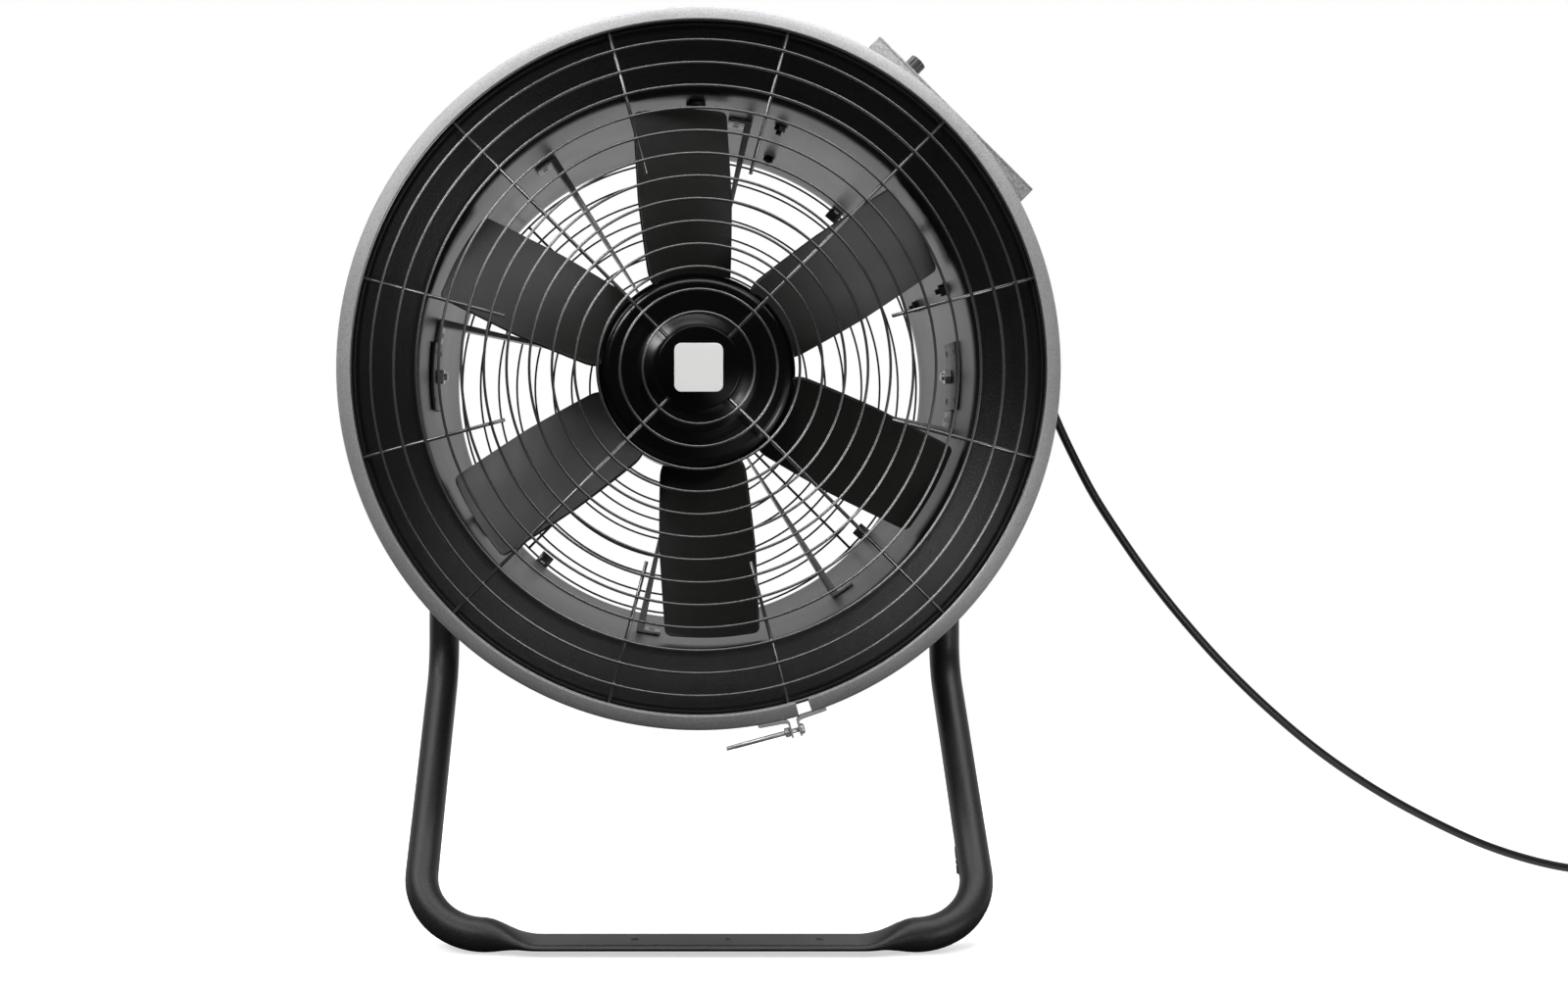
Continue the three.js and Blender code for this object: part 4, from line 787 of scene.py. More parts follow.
@dataclass
class Studio:
    """Camera, lights, pale floor and white surroundings."""

    eye: Place = (-0.040, -1.602, 0.398)
    lens: float = 39.15
    sensor: float = 36.0
    shift: Point = (0.0844, -0.0159)
    nearest: float = 0.05
    floor_reach: float = 9.0
    floor_sides: int = 96
    floor_shade: float = 0.8
    # floor_bounce: painted shade, the floor as bounced light and most mirrors see it, far darker
    # than the white that the camera sees
    floor_bounce: float = 0.06
    floor_glow: Point = (0.38, 0.8)
    glow_rise: Point = (-0.26, -0.14)  # along Y, from the dimmer front to the brighter back, whose glow paints light over the object's shadow
    shadow_reach: Point = (0.5, 1.2)  # from the object out to where the floor is plain white
    bright_back: Point = (-0.2, 0.6)  # along Y, where the floor shows white in a mirror; elsewhere a mirror sees the painted dark floor_bounce
    bright_right: Point = (0.3, 0.7)  # along X, the same
    ambient: float = 0.08
    front_dark: float = 0.05
    upper_back: float = 0.5
    upper_rise: Point = (-0.02, 0.16)
    back_rise: Point = (0.0, 0.45)

    def build(self) -> None:
        """Set up the camera, the surroundings, the floor and the lamps."""
        self.camera()
        self.surroundings()
        self.floor()
        for lamp in LAMPS:
            lamp.hang()

    def camera(self) -> None:
        """Stand the camera where the photograph was taken from."""
        bpy.ops.object.camera_add(location=self.eye, rotation=(math.pi / 2, 0, 0))
        camera = bpy.context.active_object
        camera.name = "camera"
        camera.data.lens = self.lens
        camera.data.sensor_width = self.sensor
        camera.data.shift_x, camera.data.shift_y = self.shift
        camera.data.clip_start = self.nearest
        bpy.context.scene.camera = camera

    def surroundings(self) -> None:
        """Light evenly from all round, with plain white behind the object.

        A glossy surface sees the front dim, so that black parts stay black.
        """
        scene = bpy.context.scene
        scene.view_settings.view_transform = "Standard"
        world = bpy.data.worlds.new("surroundings")
        scene.world = world
        world.use_nodes = True
        tree = world.node_tree
        tree.nodes.clear()
        white = self._plain(tree, "ShaderNodeBackground", 1.0)
        even = self._plain(tree, "ShaderNodeBackground", self.ambient)
        dim = self._plain(tree, "ShaderNodeBackground", self.front_dark)
        upper = self._plain(tree, "ShaderNodeBackground", self.upper_back)
        path = tree.nodes.new("ShaderNodeLightPath")
        way = tree.nodes.new("ShaderNodeTexCoord").outputs["Generated"]
        behind = self._mixed(tree, self._rise(tree, way, "Z", self.upper_rise), white, upper)
        mirrored = self._mixed(tree, self._rise(tree, way, "Y", self.back_rise), dim, behind)
        look = self._mixed(tree, path.outputs["Is Glossy Ray"], even, mirrored)
        seen = self._mixed(tree, self._direct_look(tree, path), look, white)
        out = tree.nodes.new("ShaderNodeOutputWorld")
        tree.links.new(seen, out.inputs["Surface"])

    @staticmethod
    def _plain(tree: bpy.types.NodeTree, kind: str, strength: float) -> bpy.types.NodeSocket:
        """A plain white glow of one strength.

        Args:
            tree: The node tree under way.
            kind: The type of the shader node.
            strength: How bright it is, where 1 is white.

        Returns:
            The shader's socket.
        """
        node = tree.nodes.new(kind)
        node.inputs["Color"].default_value = WHITE
        node.inputs["Strength"].default_value = strength
        return node.outputs[0]

    @staticmethod
    def _mixed(
        tree: bpy.types.NodeTree,
        share: bpy.types.NodeSocket,
        first: bpy.types.NodeSocket,
        second: bpy.types.NodeSocket,
    ) -> bpy.types.NodeSocket:
        """Mix two shaders by a share.

        Args:
            tree: The node tree under way.
            share: How much of the second shader shows, from 0 to 1.
            first: The shader at 0.
            second: The shader at 1.

        Returns:
            The mixed shader's socket.
        """
        mix = tree.nodes.new("ShaderNodeMixShader")
        tree.links.new(share, mix.inputs["Fac"])
        tree.links.new(first, mix.inputs[1])
        tree.links.new(second, mix.inputs[2])
        return mix.outputs["Shader"]

    @staticmethod
    def _rise(
        tree: bpy.types.NodeTree,
        place: bpy.types.NodeSocket,
        axis: str,
        ends: Point,
    ) -> bpy.types.NodeSocket:
        """A soft rise from nothing to one along one axis.

        Args:
            tree: The node tree under way.
            place: The place or direction that is read.
            axis: The letter of the axis.
            ends: Where the rise begins and where it is complete.

        Returns:
            The socket that gives the share.
        """
        parts = tree.nodes.new("ShaderNodeSeparateXYZ")
        tree.links.new(place, parts.inputs["Vector"])
        rise = tree.nodes.new("ShaderNodeMapRange")
        rise.interpolation_type = "SMOOTHSTEP"
        rise.inputs["From Min"].default_value = ends[0]
        rise.inputs["From Max"].default_value = ends[1]
        tree.links.new(parts.outputs[axis], rise.inputs["Value"])
        return rise.outputs["Result"]

    @staticmethod
    def _either(
        tree: bpy.types.NodeTree, first: bpy.types.NodeSocket, second: bpy.types.NodeSocket
    ) -> bpy.types.NodeSocket:
        """The larger of two shares.

        Args:
            tree: The node tree under way.
            first: One share.
            second: The other.

        Returns:
            The socket that gives the larger one.
        """
        both = tree.nodes.new("ShaderNodeMath")
        both.operation = "MAXIMUM"
        tree.links.new(first, both.inputs[0])
        tree.links.new(second, both.inputs[1])
        return both.outputs["Value"]

    def _direct_look(self, tree: bpy.types.NodeTree, path: bpy.types.Node) -> bpy.types.NodeSocket:
        """Tell the rays from the camera and through glass from the rest.

        Args:
            tree: The node tree under way.
            path: The node that knows each ray's kind.

        Returns:
            The socket that gives one for them and nothing for the rest.
        """
        return self._either(
            tree, path.outputs["Is Camera Ray"], path.outputs["Is Transmission Ray"]
        )

    @staticmethod
    def _matt(tree: bpy.types.NodeTree, shade: float) -> bpy.types.NodeSocket:
        """A matt grey of one shade.

        Args:
            tree: The node tree under way.
            shade: How light it is.

        Returns:
            The shader's socket.
        """
        node = tree.nodes.new("ShaderNodeBsdfDiffuse")
        node.inputs["Color"].default_value = (shade, shade, shade, 1)
        return node.outputs["BSDF"]

    def floor(self) -> None:
        """Lay the pale floor, which keeps the object's shadow in front, has light painted over that
        shadow further back by a brighter glow, and fades to plain white.
        """
        select_only()
        bpy.ops.mesh.primitive_circle_add(
            vertices=self.floor_sides, radius=self.floor_reach, fill_type="NGON", location=(0, 0, 0)
        )
        floor = settle(bpy.context.active_object, "floor")
        made = bpy.data.materials.new("floor_white")
        made.use_nodes = True
        tree = made.node_tree
        tree.nodes.remove(tree.nodes["Principled BSDF"])
        white = self._plain(tree, "ShaderNodeEmission", 1.0)
        low, high = (self._plain(tree, "ShaderNodeEmission", glow) for glow in self.floor_glow)
        pale, bounce = self._matt(tree, self.floor_shade), self._matt(tree, self.floor_bounce)
        path = tree.nodes.new("ShaderNodeLightPath")
        place = tree.nodes.new("ShaderNodeTexCoord").outputs["Object"]
        # painted light: the glow rises towards the back, over the object's shadow there
        glow = self._mixed(tree, self._rise(tree, place, "Y", self.glow_rise), low, high)
        total = tree.nodes.new("ShaderNodeAddShader")
        tree.links.new(pale, total.inputs[0])
        tree.links.new(glow, total.inputs[1])
        near = self._mixed(tree, self._away(tree, place), total.outputs["Shader"], white)
        back = self._rise(tree, place, "Y", self.bright_back)
        right = self._rise(tree, place, "X", self.bright_right)
        # painted shade in mirrors: white only at the back and on the right, dark floor_bounce
        # elsewhere
        mirrored = self._mixed(tree, self._either(tree, back, right), bounce, white)
        look = self._mixed(tree, path.outputs["Is Glossy Ray"], bounce, mirrored)
        seen = self._mixed(tree, self._direct_look(tree, path), look, near)
        tree.links.new(seen, tree.nodes["Material Output"].inputs["Surface"])
        floor.data.materials.append(made)

    def _away(self, tree: bpy.types.NodeTree, place: bpy.types.NodeSocket) -> bpy.types.NodeSocket:
        """A rise from nothing by the object to one where the floor is plain white.

        Args:
            tree: The node tree under way.
            place: The place that is read.

        Returns:
            The socket that gives the share.
        """
        size = tree.nodes.new("ShaderNodeVectorMath")
        size.operation = "LENGTH"
        tree.links.new(place, size.inputs[0])
        fade = tree.nodes.new("ShaderNodeMapRange")
        fade.inputs["From Min"].default_value = self.shadow_reach[0]
        fade.inputs["From Max"].default_value = self.shadow_reach[1]
        tree.links.new(size.outputs["Value"], fade.inputs["Value"])
        return fade.outputs["Result"]


# ---------------------------------------------------------------- cord and plug


@dataclass
class SupplyCord:
    """The black lead from the control box down to the floor, its coil and its plug."""

    radius: float = 4 * MM
    level: float = 4.4 * MM
    y: float = 60 * MM
    start: Point = (294.58, 568.43)  # x and z in millimetres, as in the route
    route: tuple[Point, ...] = (
        (303, 560), (312, 548), (322, 529), (331, 506), (342, 477), (356, 442), (372, 408),
        (391, 372), (414, 336), (442, 296), (476, 253), (516, 208), (560, 165), (610, 123),
        (664, 86), (720, 55), (778, 29), (836, 12), (884, 5.2), (916, 4.4),
    )
    coil_x: float = 944 * MM
    coil_inner: float = 38 * MM
    coil_pitch: float = 8.6 * MM
    coil_turns: float = 4.5
    steps_per_turn: int = 24
    coil_end: float = 8 * MM
    plug_z: float = 18.4 * MM
    declared: float = 2.25
    rounding: int = 5
    route_steps: int = 8  # from one point of the route to the next
    coil_steps: int = 3
    still_from: int = 14  # a point of the route, counted from its start
    plug_length: float = 66 * MM
    neck_ribs: int = 5
    pin_apart: float = 19 * MM
    pin_length: float = 19 * MM
    pin_radius: float = 2.4 * MM

    def coil_line(self) -> list[Vector]:
        """Wind the middle line of the coil, inwards on the floor and outwards on top.

        Returns:
            Its points, with a short straight end before and after it.
        """
        steps = round(self.coil_turns * self.steps_per_turn)
        quarter = self.steps_per_turn / 4
        outer = self.coil_inner + self.coil_pitch * self.coil_turns / 2
        centre = Vector((self.coil_x, self.y - outer, 0))
        rise = self.plug_z - self.level - self.coil_pitch
        line = []
        for i in range(steps + 1):
            a = math.pi / 2 - 2 * math.pi * i / self.steps_per_turn
            r = self.coil_inner + self.coil_pitch * abs(i - steps / 2) / self.steps_per_turn
            layer = smooth(i, steps / 2 - quarter, steps / 2 + quarter) * self.coil_pitch
            z = self.level + layer + smooth(i, steps - 2 * quarter, steps) * rise
            line.append(centre + Vector((r * math.cos(a), r * math.sin(a), z)))
        back = Vector((-self.coil_end, 0, 0))
        return [line[0] + back, *line, line[-1] + back]

    def line(self) -> list[Vector]:
        """Draw the whole middle line, from the strain relief to the plug.

        Returns:
            Its points.
        """
        spots = [self.hung(point) for point in (self.start, *self.route)]
        coil = self.coil_line()
        hanging = self._curved([*spots, coil[0]], self.route_steps)
        return [*hanging[:-1], *self._curved(coil, self.coil_steps)]

    def hung(self, point: Point) -> Vector:
        """A point of the route, in the plane that the cord hangs in."""
        return Vector((point[0] * MM, self.y, point[1] * MM))

    @staticmethod
    def _curved(spots: list[Vector], steps: int) -> list[Vector]:
        """Round the corners of a row of points with a curve that passes through each.

        Args:
            spots: The points.
            steps: How many steps there are from one to the next.

        Returns:
            The points of the curve.
        """
        ends = [2 * spots[0] - spots[1], *spots, 2 * spots[-1] - spots[-2]]
        line = []
        for a, b, c, d in zip(ends, ends[1:], ends[2:], ends[3:]):
            t1 = (b - a).length ** 0.5
            t2 = t1 + (c - b).length ** 0.5
            t3 = t2 + (d - c).length ** 0.5
            for i in range(steps):
                t = t1 + (t2 - t1) * i / steps
                p = a.lerp(b, t / t1)
                q = b.lerp(c, (t - t1) / (t2 - t1))
                r = c.lerp(d, (t - t2) / (t3 - t2))
                before, after = p.lerp(q, t / t2), q.lerp(r, (t - t1) / (t3 - t1))
                line.append(before.lerp(after, (t - t1) / (t2 - t1)))
        return [*line, spots[-1]]

    def build(self) -> None:
        """Lay the cord, wind its coil and put the plug on its end."""
        plug = self.plug()
        line = self.line()
        cord = settle(bent_rod("supply_cord", line, self.radius, self.rounding), "supply_cord", 60)
        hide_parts("cord", "cord_coil")
        cord.data.materials.clear()
        cord.data.materials.append(CORD_BLACK.material())
        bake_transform(cord)
        LOG.info("%s bends between drum and stand in %s", cord.name, CORD_BLACK.name)

    def plug(self) -> list[bpy.types.Object]:
        """Mould the plug with its ribbed neck, and set its two pins in it.

        Returns:
            The plug's body and its pins.
        """
        start = self.coil_line()[-1] + Vector((-0.3 * MM, 0, 0))
        outline = [(0.0, 0.0), (5.2, 0.0)]
        for i in range(self.neck_ribs):
            at, r = 2 + i * 3.4, 4.8 + i * 0.3
            outline += [(r + 0.8, at), (r + 0.8, at + 1.6), (r, at + 1.8), (r, at + 3.2)]
        outline += [
            (7, 19.4), (11, 20.4), (13.5, 22), (15.2, 27), (16.6, 34), (17.6, 41), (18, 46),
            (17.2, 49), (17.2, 56), (18, 58.5), (18, 64), (17.6, 65.4), (16.4, 66), (0, 66),
        ]
        out = Vector((-1, 0, 0))
        body = turned("plug_body", in_mm(outline), 72, start, out, smooth_angle=30)
        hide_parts("plug")
        dress(body, RUBBER_BLACK, "stand")
        pins = []
        for side in (-1, 1):
            foot = start + out * self.plug_length + Vector((0, side * self.pin_apart / 2, 0))
            pins.append(
                rod(f"plug_pin_{side}", foot, foot + out * self.pin_length, self.pin_radius, 32)
            )
        both = joined("plug_pins", pins)
        dress(both, BEARING_STEEL, "stand")
        return [body, both]


# ---------------------------------------------------------------- drum, clamp band and guards


@dataclass
class Drum:
    """The sheet drum with its flared mouth, and what is fixed in its wall."""

    barrel: float = 245 * MM
    wall: float = 2 * MM
    mouth: float = 293 * MM
    bead: float = 299 * MM
    bead_front: float = -144.34 * MM
    bead_back: float = -139.34 * MM
    barrel_front: float = -101 * MM
    back: float = 215.3 * MM
    seat: float = 244.2 * MM
    plug_y: float = -60 * MM
    nut_x: float = 234.6 * MM
    spacer_x: float = 247.35 * MM
    plate_rivets: Point = (19 * MM, 23 * MM)  # from the pivot, along Y and Z

    def build(self) -> None:
        """Roll the drum and fit the plates, nuts, spacers and plug in its wall."""
        self.shell()
        self.seam()
        self.hole_plug()
        for side, word in ((1, "right"), (-1, "left")):
            self.pivot(side, word)

    def shell(self) -> None:
        """Roll the drum in one sheet, with its bead, flare and barrel."""
        b, m, front, back = self.barrel, self.mouth, self.barrel_front, self.back
        inside = [(m, self.bead_back - 1 * MM), (m - 2.2 * MM, self.bead_back + 2.5 * MM)]
        inside += [(b + 8.6 * MM, front - 5.2 * MM), (b + 4.4 * MM, front - 0.6 * MM)]
        inside += [(b + 1.6 * MM, front + 3.2 * MM), (b + 0.3 * MM, front + 7.5 * MM)]
        inside += [(b, front + 12 * MM), (b, back - 1.2 * MM), (b + 0.6 * MM, back)]
        skin, lip = b + self.wall, m + self.wall
        outside = [(skin - 0.4 * MM, back), (skin, back - 0.8 * MM), (skin, front + 9 * MM)]
        outside += [(skin + 0.6 * MM, front + 4.6 * MM), (skin + 3 * MM, front + 1 * MM)]
        outside += [(skin + 7.2 * MM, front - 3.4 * MM), (lip + 0.2 * MM, self.bead_back + 2 * MM)]
        outside += [(lip + 1.2 * MM, self.bead_back)]
        roll = (self.bead_back - self.bead_front) / 2
        middle = (self.bead - roll, (self.bead_front + self.bead_back) / 2)
        outside += arc(middle, roll, 70, -90, 8)
        outside += [(m + 0.8 * MM, self.bead_front), (m, self.bead_front + 0.8 * MM)]
        shell = turned("drum_sheet", inside + outside, 192, smooth_angle=40)
        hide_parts("drum_shell")
        dress(shell, POWDER_BLACK, "drum")

    def seam(self) -> None:
        """Run the weld seam along the outside of the barrel, on its underside."""
        r = self.barrel + self.wall - 0.2 * MM
        start = around(-90, r, self.barrel_front + 14 * MM)
        weld = rod("drum_seam", start, around(-90, r, self.back - 3 * MM), 1.5 * MM, 16)
        dress(weld, POWDER_BLACK, "drum")

    def hole_plug(self) -> None:
        """Push the rubber plug in its hole at the top of the barrel."""
        foot = around(90, self.seat - 3 * MM, self.plug_y)
        outline = [(0, -0.6), (5, -0.5), (7.6, 0), (8.7, 0.8), (9, 1.8)]
        outline += [(8.8, 3), (6.7, 3.1), (6.7, 6), (0, 6)]
        plug = turned("hole_plug", in_mm(outline), 48, foot, Vector((0, 0, 1)))
        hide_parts("barrel_plug")
        dress(plug, RUBBER_BLACK, "drum")

    def pivot(self, side: int, word: str) -> None:
        """Fit one pivot: the backing plate and nut inside, and the spacer outside.

        Args:
            side: 1 on the right and -1 on the left.
            word: The side's name.
        """
        plate = copied(f"backing_plate_{word}", 0.7 * MM)
        dress(plate, MOTOR_BLACK, "drum")
        out = Vector((side, 0, 0))
        seat = Vector((side * self.nut_x, 0, AXIS_Z))
        nut = hexagon(f"pivot_nut_{word}_dressed", seat, out, 13 * MM, 6.3 * MM, 4.2 * MM)
        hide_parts(f"pivot_nut_{word}")
        dress(nut, ZINC, "drum")
        rivets = []
        wide, high = self.plate_rivets
        for up in (-1, 1):
            for along in (-1, 1):
                spot = Vector((side * (self.seat - 3.4 * MM), along * wide, AXIS_Z + up * high))
                name = f"plate_rivet_{word}_{up}_{along}"
                rivets.append(rivet(name, spot, -out, 3.6 * MM, 1.5 * MM))
        dress(joined(f"plate_rivets_{word}", rivets), MOTOR_BLACK, "drum")
        outline = [(4.4, 0), (15.4, 0), (17, 1.4), (17, 3.6), (15.6, 4.4)]
        outline += [(15.6, 5.6), (17, 6.4), (17, 8.4), (15.6, 9.8), (4.4, 9.8)]
        base = Vector((side * self.spacer_x, 0, AXIS_Z))
        spacer = turned(f"pivot_spacer_{word}_dressed", in_mm(outline), 64, base, out)
        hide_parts(f"pivot_spacer_{word}")
        dress(spacer, RUBBER_BLACK, "drum")


@dataclass
class ClampBand:
    """The grey channel that is drawn round the rim and closed by one long screw."""

    inner: float = 296.7 * MM
    outer: float = 310 * MM
    front: float = RIM_Y
    back: float = -137.4 * MM
    sheet: float = 1.6 * MM
    back_corner: float = 2 * MM
    gap: float = 12 * MM
    angle: float = -75.0
    ear_width: float = 10 * MM
    ear_drop: float = 16 * MM
    ear_space: float = 6 * MM
    ear_length: float = 24 * MM
    bolt_line: float = 320.6 * MM
    bolt_radius: float = 2 * MM
    head_radius: float = 4.5 * MM
    bolt_length: float = 66 * MM
    neck_length: float = 53.5 * MM

    def build(self) -> None:
        """Roll the channel, bend its two ears and fit the screw and nut."""
        parts = [self.channel(), self.ear(1), self.ear(-1)]
        band = joined("clamp_channel", parts)
        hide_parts("clamp_band")
        dress(band, BAND_GREY, "drum")
        self.screw()

    def channel(self) -> bpy.types.Object:
        """Roll the channel, open between its two ends.

        Returns:
            The channel.
        """
        low, high, front, back = self.inner, self.outer, self.front, self.back
        s, r = self.sheet, self.back_corner
        outline = [
            (low, front + 0.5 * MM), (low + 0.5 * MM, front), (low + 1.4 * MM, front + 0.1 * MM)
        ]
        outline += [(high - 2.6 * MM, front + 4.2 * MM), (high - 1.2 * MM, front + 5.7 * MM)]
        outline += [(high - 0.3 * MM, front + 7.4 * MM), (high, front + 9 * MM)]
        outline += arc((high - r, back - r), r, 0, 90, 5)
        outline += [(low + 0.5 * MM, back), (low, back - 0.5 * MM), (low, back - s)]
        outline += [(high - s, back - s), (high - s, front + 9 * MM)]
        outline += [(high - s - 2.2 * MM, front + 6.0 * MM)]
        outline += [(low + 0.8 * MM, front + s), (low, front + s)]
        half = math.degrees(self.gap / 2 / self.outer)
        return turned("channel", outline, 220, sweep=(self.angle + half, self.angle + 360 - half))

    def ear(self, side: int) -> bpy.types.Object:
        """One end of the strap, bent down beside the gap.

        Args:
            side: 1 on the right and -1 on the left.

        Returns:
            The ear.
        """
        s = self.sheet
        foot = self.outer - s / 2
        near, far = self.ear_space / 2, self.gap / 2 + self.ear_length
        drop = math.sqrt(self.outer**2 - far**2) - s / 2
        edge = self.gap / 2
        tip = self.outer + self.ear_drop
        shape = [
            (foot - 0.2 * MM, side * (edge + s)),
            (foot, side * (edge + 1 * MM)),
            (foot + s * 1.1, side * (near + 1.3 * MM)),
            (foot + s * 2, side * near),
            (tip - 1.0 * MM, side * near),
            (tip, side * (near + 0.4 * MM)),
            (tip, side * (near + s - 0.4 * MM)),
            (tip - 1.0 * MM, side * (near + s)),
            (foot + s * 3, side * (near + s)),
            (foot + s * 2.1, side * (near + s + 1.2 * MM)),
            (foot + s * 1.7, side * (edge + s * 2)),
            (drop + s * 1.75, side * (far - 3 * MM)),
            (drop + s * 1.5, side * far),
            (drop, side * far),
        ]
        front = self.front + (self.back - self.front - self.ear_width) / 2
        return pressed(f"ear_{side}", shape, front, self.ear_width, 0.4 * MM, self.angle)

    def place(self, along: float) -> Vector:
        """A point on the clamp screw's line.

        Args:
            along: How far it lies to the left of the gap's middle.

        Returns:
            The point.
        """
        a = math.radians(self.angle)
        radial = Vector((math.cos(a), 0, math.sin(a)))
        across = Vector((-math.sin(a), 0, math.cos(a)))
        y = (self.front + self.back) / 2
        return Vector((0, y, AXIS_Z)) + radial * self.bolt_line - across * along

    def screw(self) -> None:
        """Put the long screw through both ears, its head on the right, with its nut."""
        face = self.ear_space / 2 + self.sheet + 0.3 * MM
        left = (self.place(1) - self.place(0)).normalized()
        wide, bore, dome = self.head_radius, self.bolt_radius, self.head_radius * 0.7
        outline = [(0.0, 0.0), (wide, 0.0), (wide, dome * 0.55), (wide * 0.86, dome * 0.85)]
        outline += [(wide * 0.6, dome), (bore, dome), (bore * 0.9, dome * 0.4), (0.0, dome * 0.4)]
        head = turned("screw_head", outline, 40, self.place(-face), -left)
        under = self.place(-face + 0.3 * MM)
        flat = washer("screw_washer", under, -left, 5.2 * MM, 0.8 * MM, bore)
        neck_end = self.place(self.neck_length + 0.5 * MM)
        neck = rod("screw_neck", self.place(-face - 0.4 * MM), neck_end, bore, 32)
        thread_start, end = self.place(self.neck_length), self.place(self.bolt_length - face)
        thread = threaded("screw_thread", thread_start, end, bore, 0.7 * MM)
        screw = joined("clamp_screw", [head, flat, neck, thread])
        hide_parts("clamp_bolt")
        dress(screw, ZINC, "drum")
        nut = hexagon("clamp_nut_dressed", self.place(face), left, 7.8 * MM, wide, bore * 1.1)
        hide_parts("clamp_nut")
        dress(nut, ZINC, "drum")


@dataclass
class Guards:
    """The welded wire guards at both ends of the drum, and the disc in front."""

    first: float = 47.75 * MM
    pitch: float = 19.34 * MM
    wire: float = 1.2 * MM
    spoke: float = 1.6 * MM
    ring_y: float = -148.4 * MM
    spoke_y: float = -146.24 * MM
    rim_ring: float = 297.2 * MM
    rim_wire: float = 1.7 * MM
    front_rings: int = 13
    rear_rings: int = 11
    bead: float = 2 * MM
    long_from: float = 30 * MM
    short_from: float = 171 * MM
    disc: float = 36 * MM
    disc_y: float = -150.8 * MM
    disc_back: float = -148.14 * MM
    plate_half: float = 20.75 * MM
    plate_corner: float = 6 * MM
    plate_front: float = -152.7 * MM
    plate_depth: float = 1.6 * MM
    rear_y: float = 211.4 * MM
    rear_wire: float = 1.1 * MM
    rear_spoke: float = 1.4 * MM
    rear_reach: float = 241.15 * MM
    clip_seat: Point = (241.9 * MM, 201 * MM)  # its rivet's radius and place along Y
    clip_angle: float = 50.0

    def build(self) -> None:
        """Weld both guards and fit the disc, the plate and the rear clips."""
        self.front_guard()
        self.rear_guard()
        self.front_disc()
        self.plate()
        for number in range(1, 5):
            self.clip(number)

    def spokes(self) -> list[Point]:
        """Count the front guard's spokes round, one long and two short in each quarter.

        Returns:
            The angle and the inner radius of each.
        """
        both = []
        for quarter in range(4):
            both.append((45 + 90 * quarter, self.long_from))
            both += [(45 + 90 * quarter + 30 * k, self.short_from) for k in (1, 2)]
        return both

    def front_guard(self) -> None:
        """Lay the rings on the spokes, with a weld where each crosses."""
        radii = [self.first + self.pitch * k for k in range(self.front_rings)]
        parts = [ring(f"ring_{k}", r, self.wire, self.ring_y) for k, r in enumerate(radii)]
        parts.append(ring("rim_ring", self.rim_ring, self.rim_wire, self.ring_y, 180))
        for angle, inner in self.spokes():
            start = around(angle, inner, self.spoke_y)
            end = around(angle, self.rim_ring, self.spoke_y)
            parts.append(rod(f"spoke_{angle}", start, end, self.spoke, 16))
            for r in [*radii, self.rim_ring]:
                if r > inner:
                    parts.append(self.weld(around(angle, r, (self.ring_y + self.spoke_y) / 2)))
        guard = joined("front_guard_wires", parts)
        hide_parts("front_guard")
        dress(guard, WIRE_GREY, "drum")

    def weld(self, spot: Vector) -> bpy.types.Object:
        """Set a small flattened bead where two wires cross.

        Args:
            spot: The middle of the crossing.

        Returns:
            The bead.
        """
        bpy.ops.object.select_all(action="DESELECT")
        bpy.ops.mesh.primitive_ico_sphere_add(
            subdivisions=2, radius=self.bead, location=spot, scale=(1, 0.62, 1)
        )
        return settle(bpy.context.active_object, "weld", 80)

    def rear_guard(self) -> None:
        """Weld the guard that closes the drum's back."""
        radii = [self.first + self.pitch * k for k in range(self.rear_rings)]
        parts = [
            ring(f"rear_ring_{k}", r, self.rear_wire, self.rear_y, 128) for k, r in enumerate(radii)
        ]
        spoke_y = self.rear_y - self.rear_wire
        for quarter in range(4):
            angle = 45 + 90 * quarter
            start = around(angle, self.first - self.rear_wire, spoke_y)
            end = around(angle, self.rear_reach, spoke_y)
            parts.append(rod(f"rear_spoke_{angle}", start, end, self.rear_spoke, 14))
        guard = joined("rear_guard_wires", parts)
        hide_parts("rear_guard")
        dress(guard, WIRE_GREY, "drum")

    def front_disc(self) -> None:
        """Press the glossy disc, with its edge turned back onto the spokes."""
        y, r, rim, sheet = self.disc_y, self.disc, self.disc_back, 1.2 * MM
        outline = [(0.0, y), (r - 1.1 * MM, y), (r - 0.5 * MM, y + 0.15 * MM)]
        outline += [(r - 0.15 * MM, y + 0.5 * MM), (r, y + 1.1 * MM), (r, rim), (r - sheet, rim)]
        outline += [(r - sheet, y + sheet), (0.0, y + sheet)]
        disc = turned("front_disc", outline, 128, smooth_angle=60)
        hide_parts("guard_disc")
        dress(disc, DISC_BLACK, "drum")

    def plate(self) -> None:
        """Stick the plain white plate with rounded corners on the disc."""
        r = self.plate_corner
        inset = self.plate_half - r
        shape = []
        for x, z, start in ((1, 1, 0), (-1, 1, 90), (-1, -1, 180), (1, -1, 270)):
            shape += arc((x * inset, z * inset), r, start, start + 90, 8)
        front, depth = self.plate_front, self.plate_depth
        badge = pressed("white_plate", shape, front, depth, 0.45 * MM, soft_steps=3)
        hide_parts("badge_plate")
        dress(badge, BADGE_WHITE, "drum")

    def clip(self, number: int) -> None:
        """One bent clip that holds the rear guard, with its rivet.

        Args:
            number: Which of the four clips.
        """
        dressed = copied(f"rear_clip_{number}", 0.5 * MM)
        dress(dressed, WIRE_GREY, "drum")
        angle = self.clip_angle + 90 * (number - 1)
        inward = around(angle, -1) - around(angle, 0)
        seat = around(angle, *self.clip_seat)
        head = rivet(f"clip_rivet_{number}", seat, inward, 2.8 * MM, 1.4 * MM)
        dress(head, ZINC, "drum")


# ---------------------------------------------------------------- impeller and motor


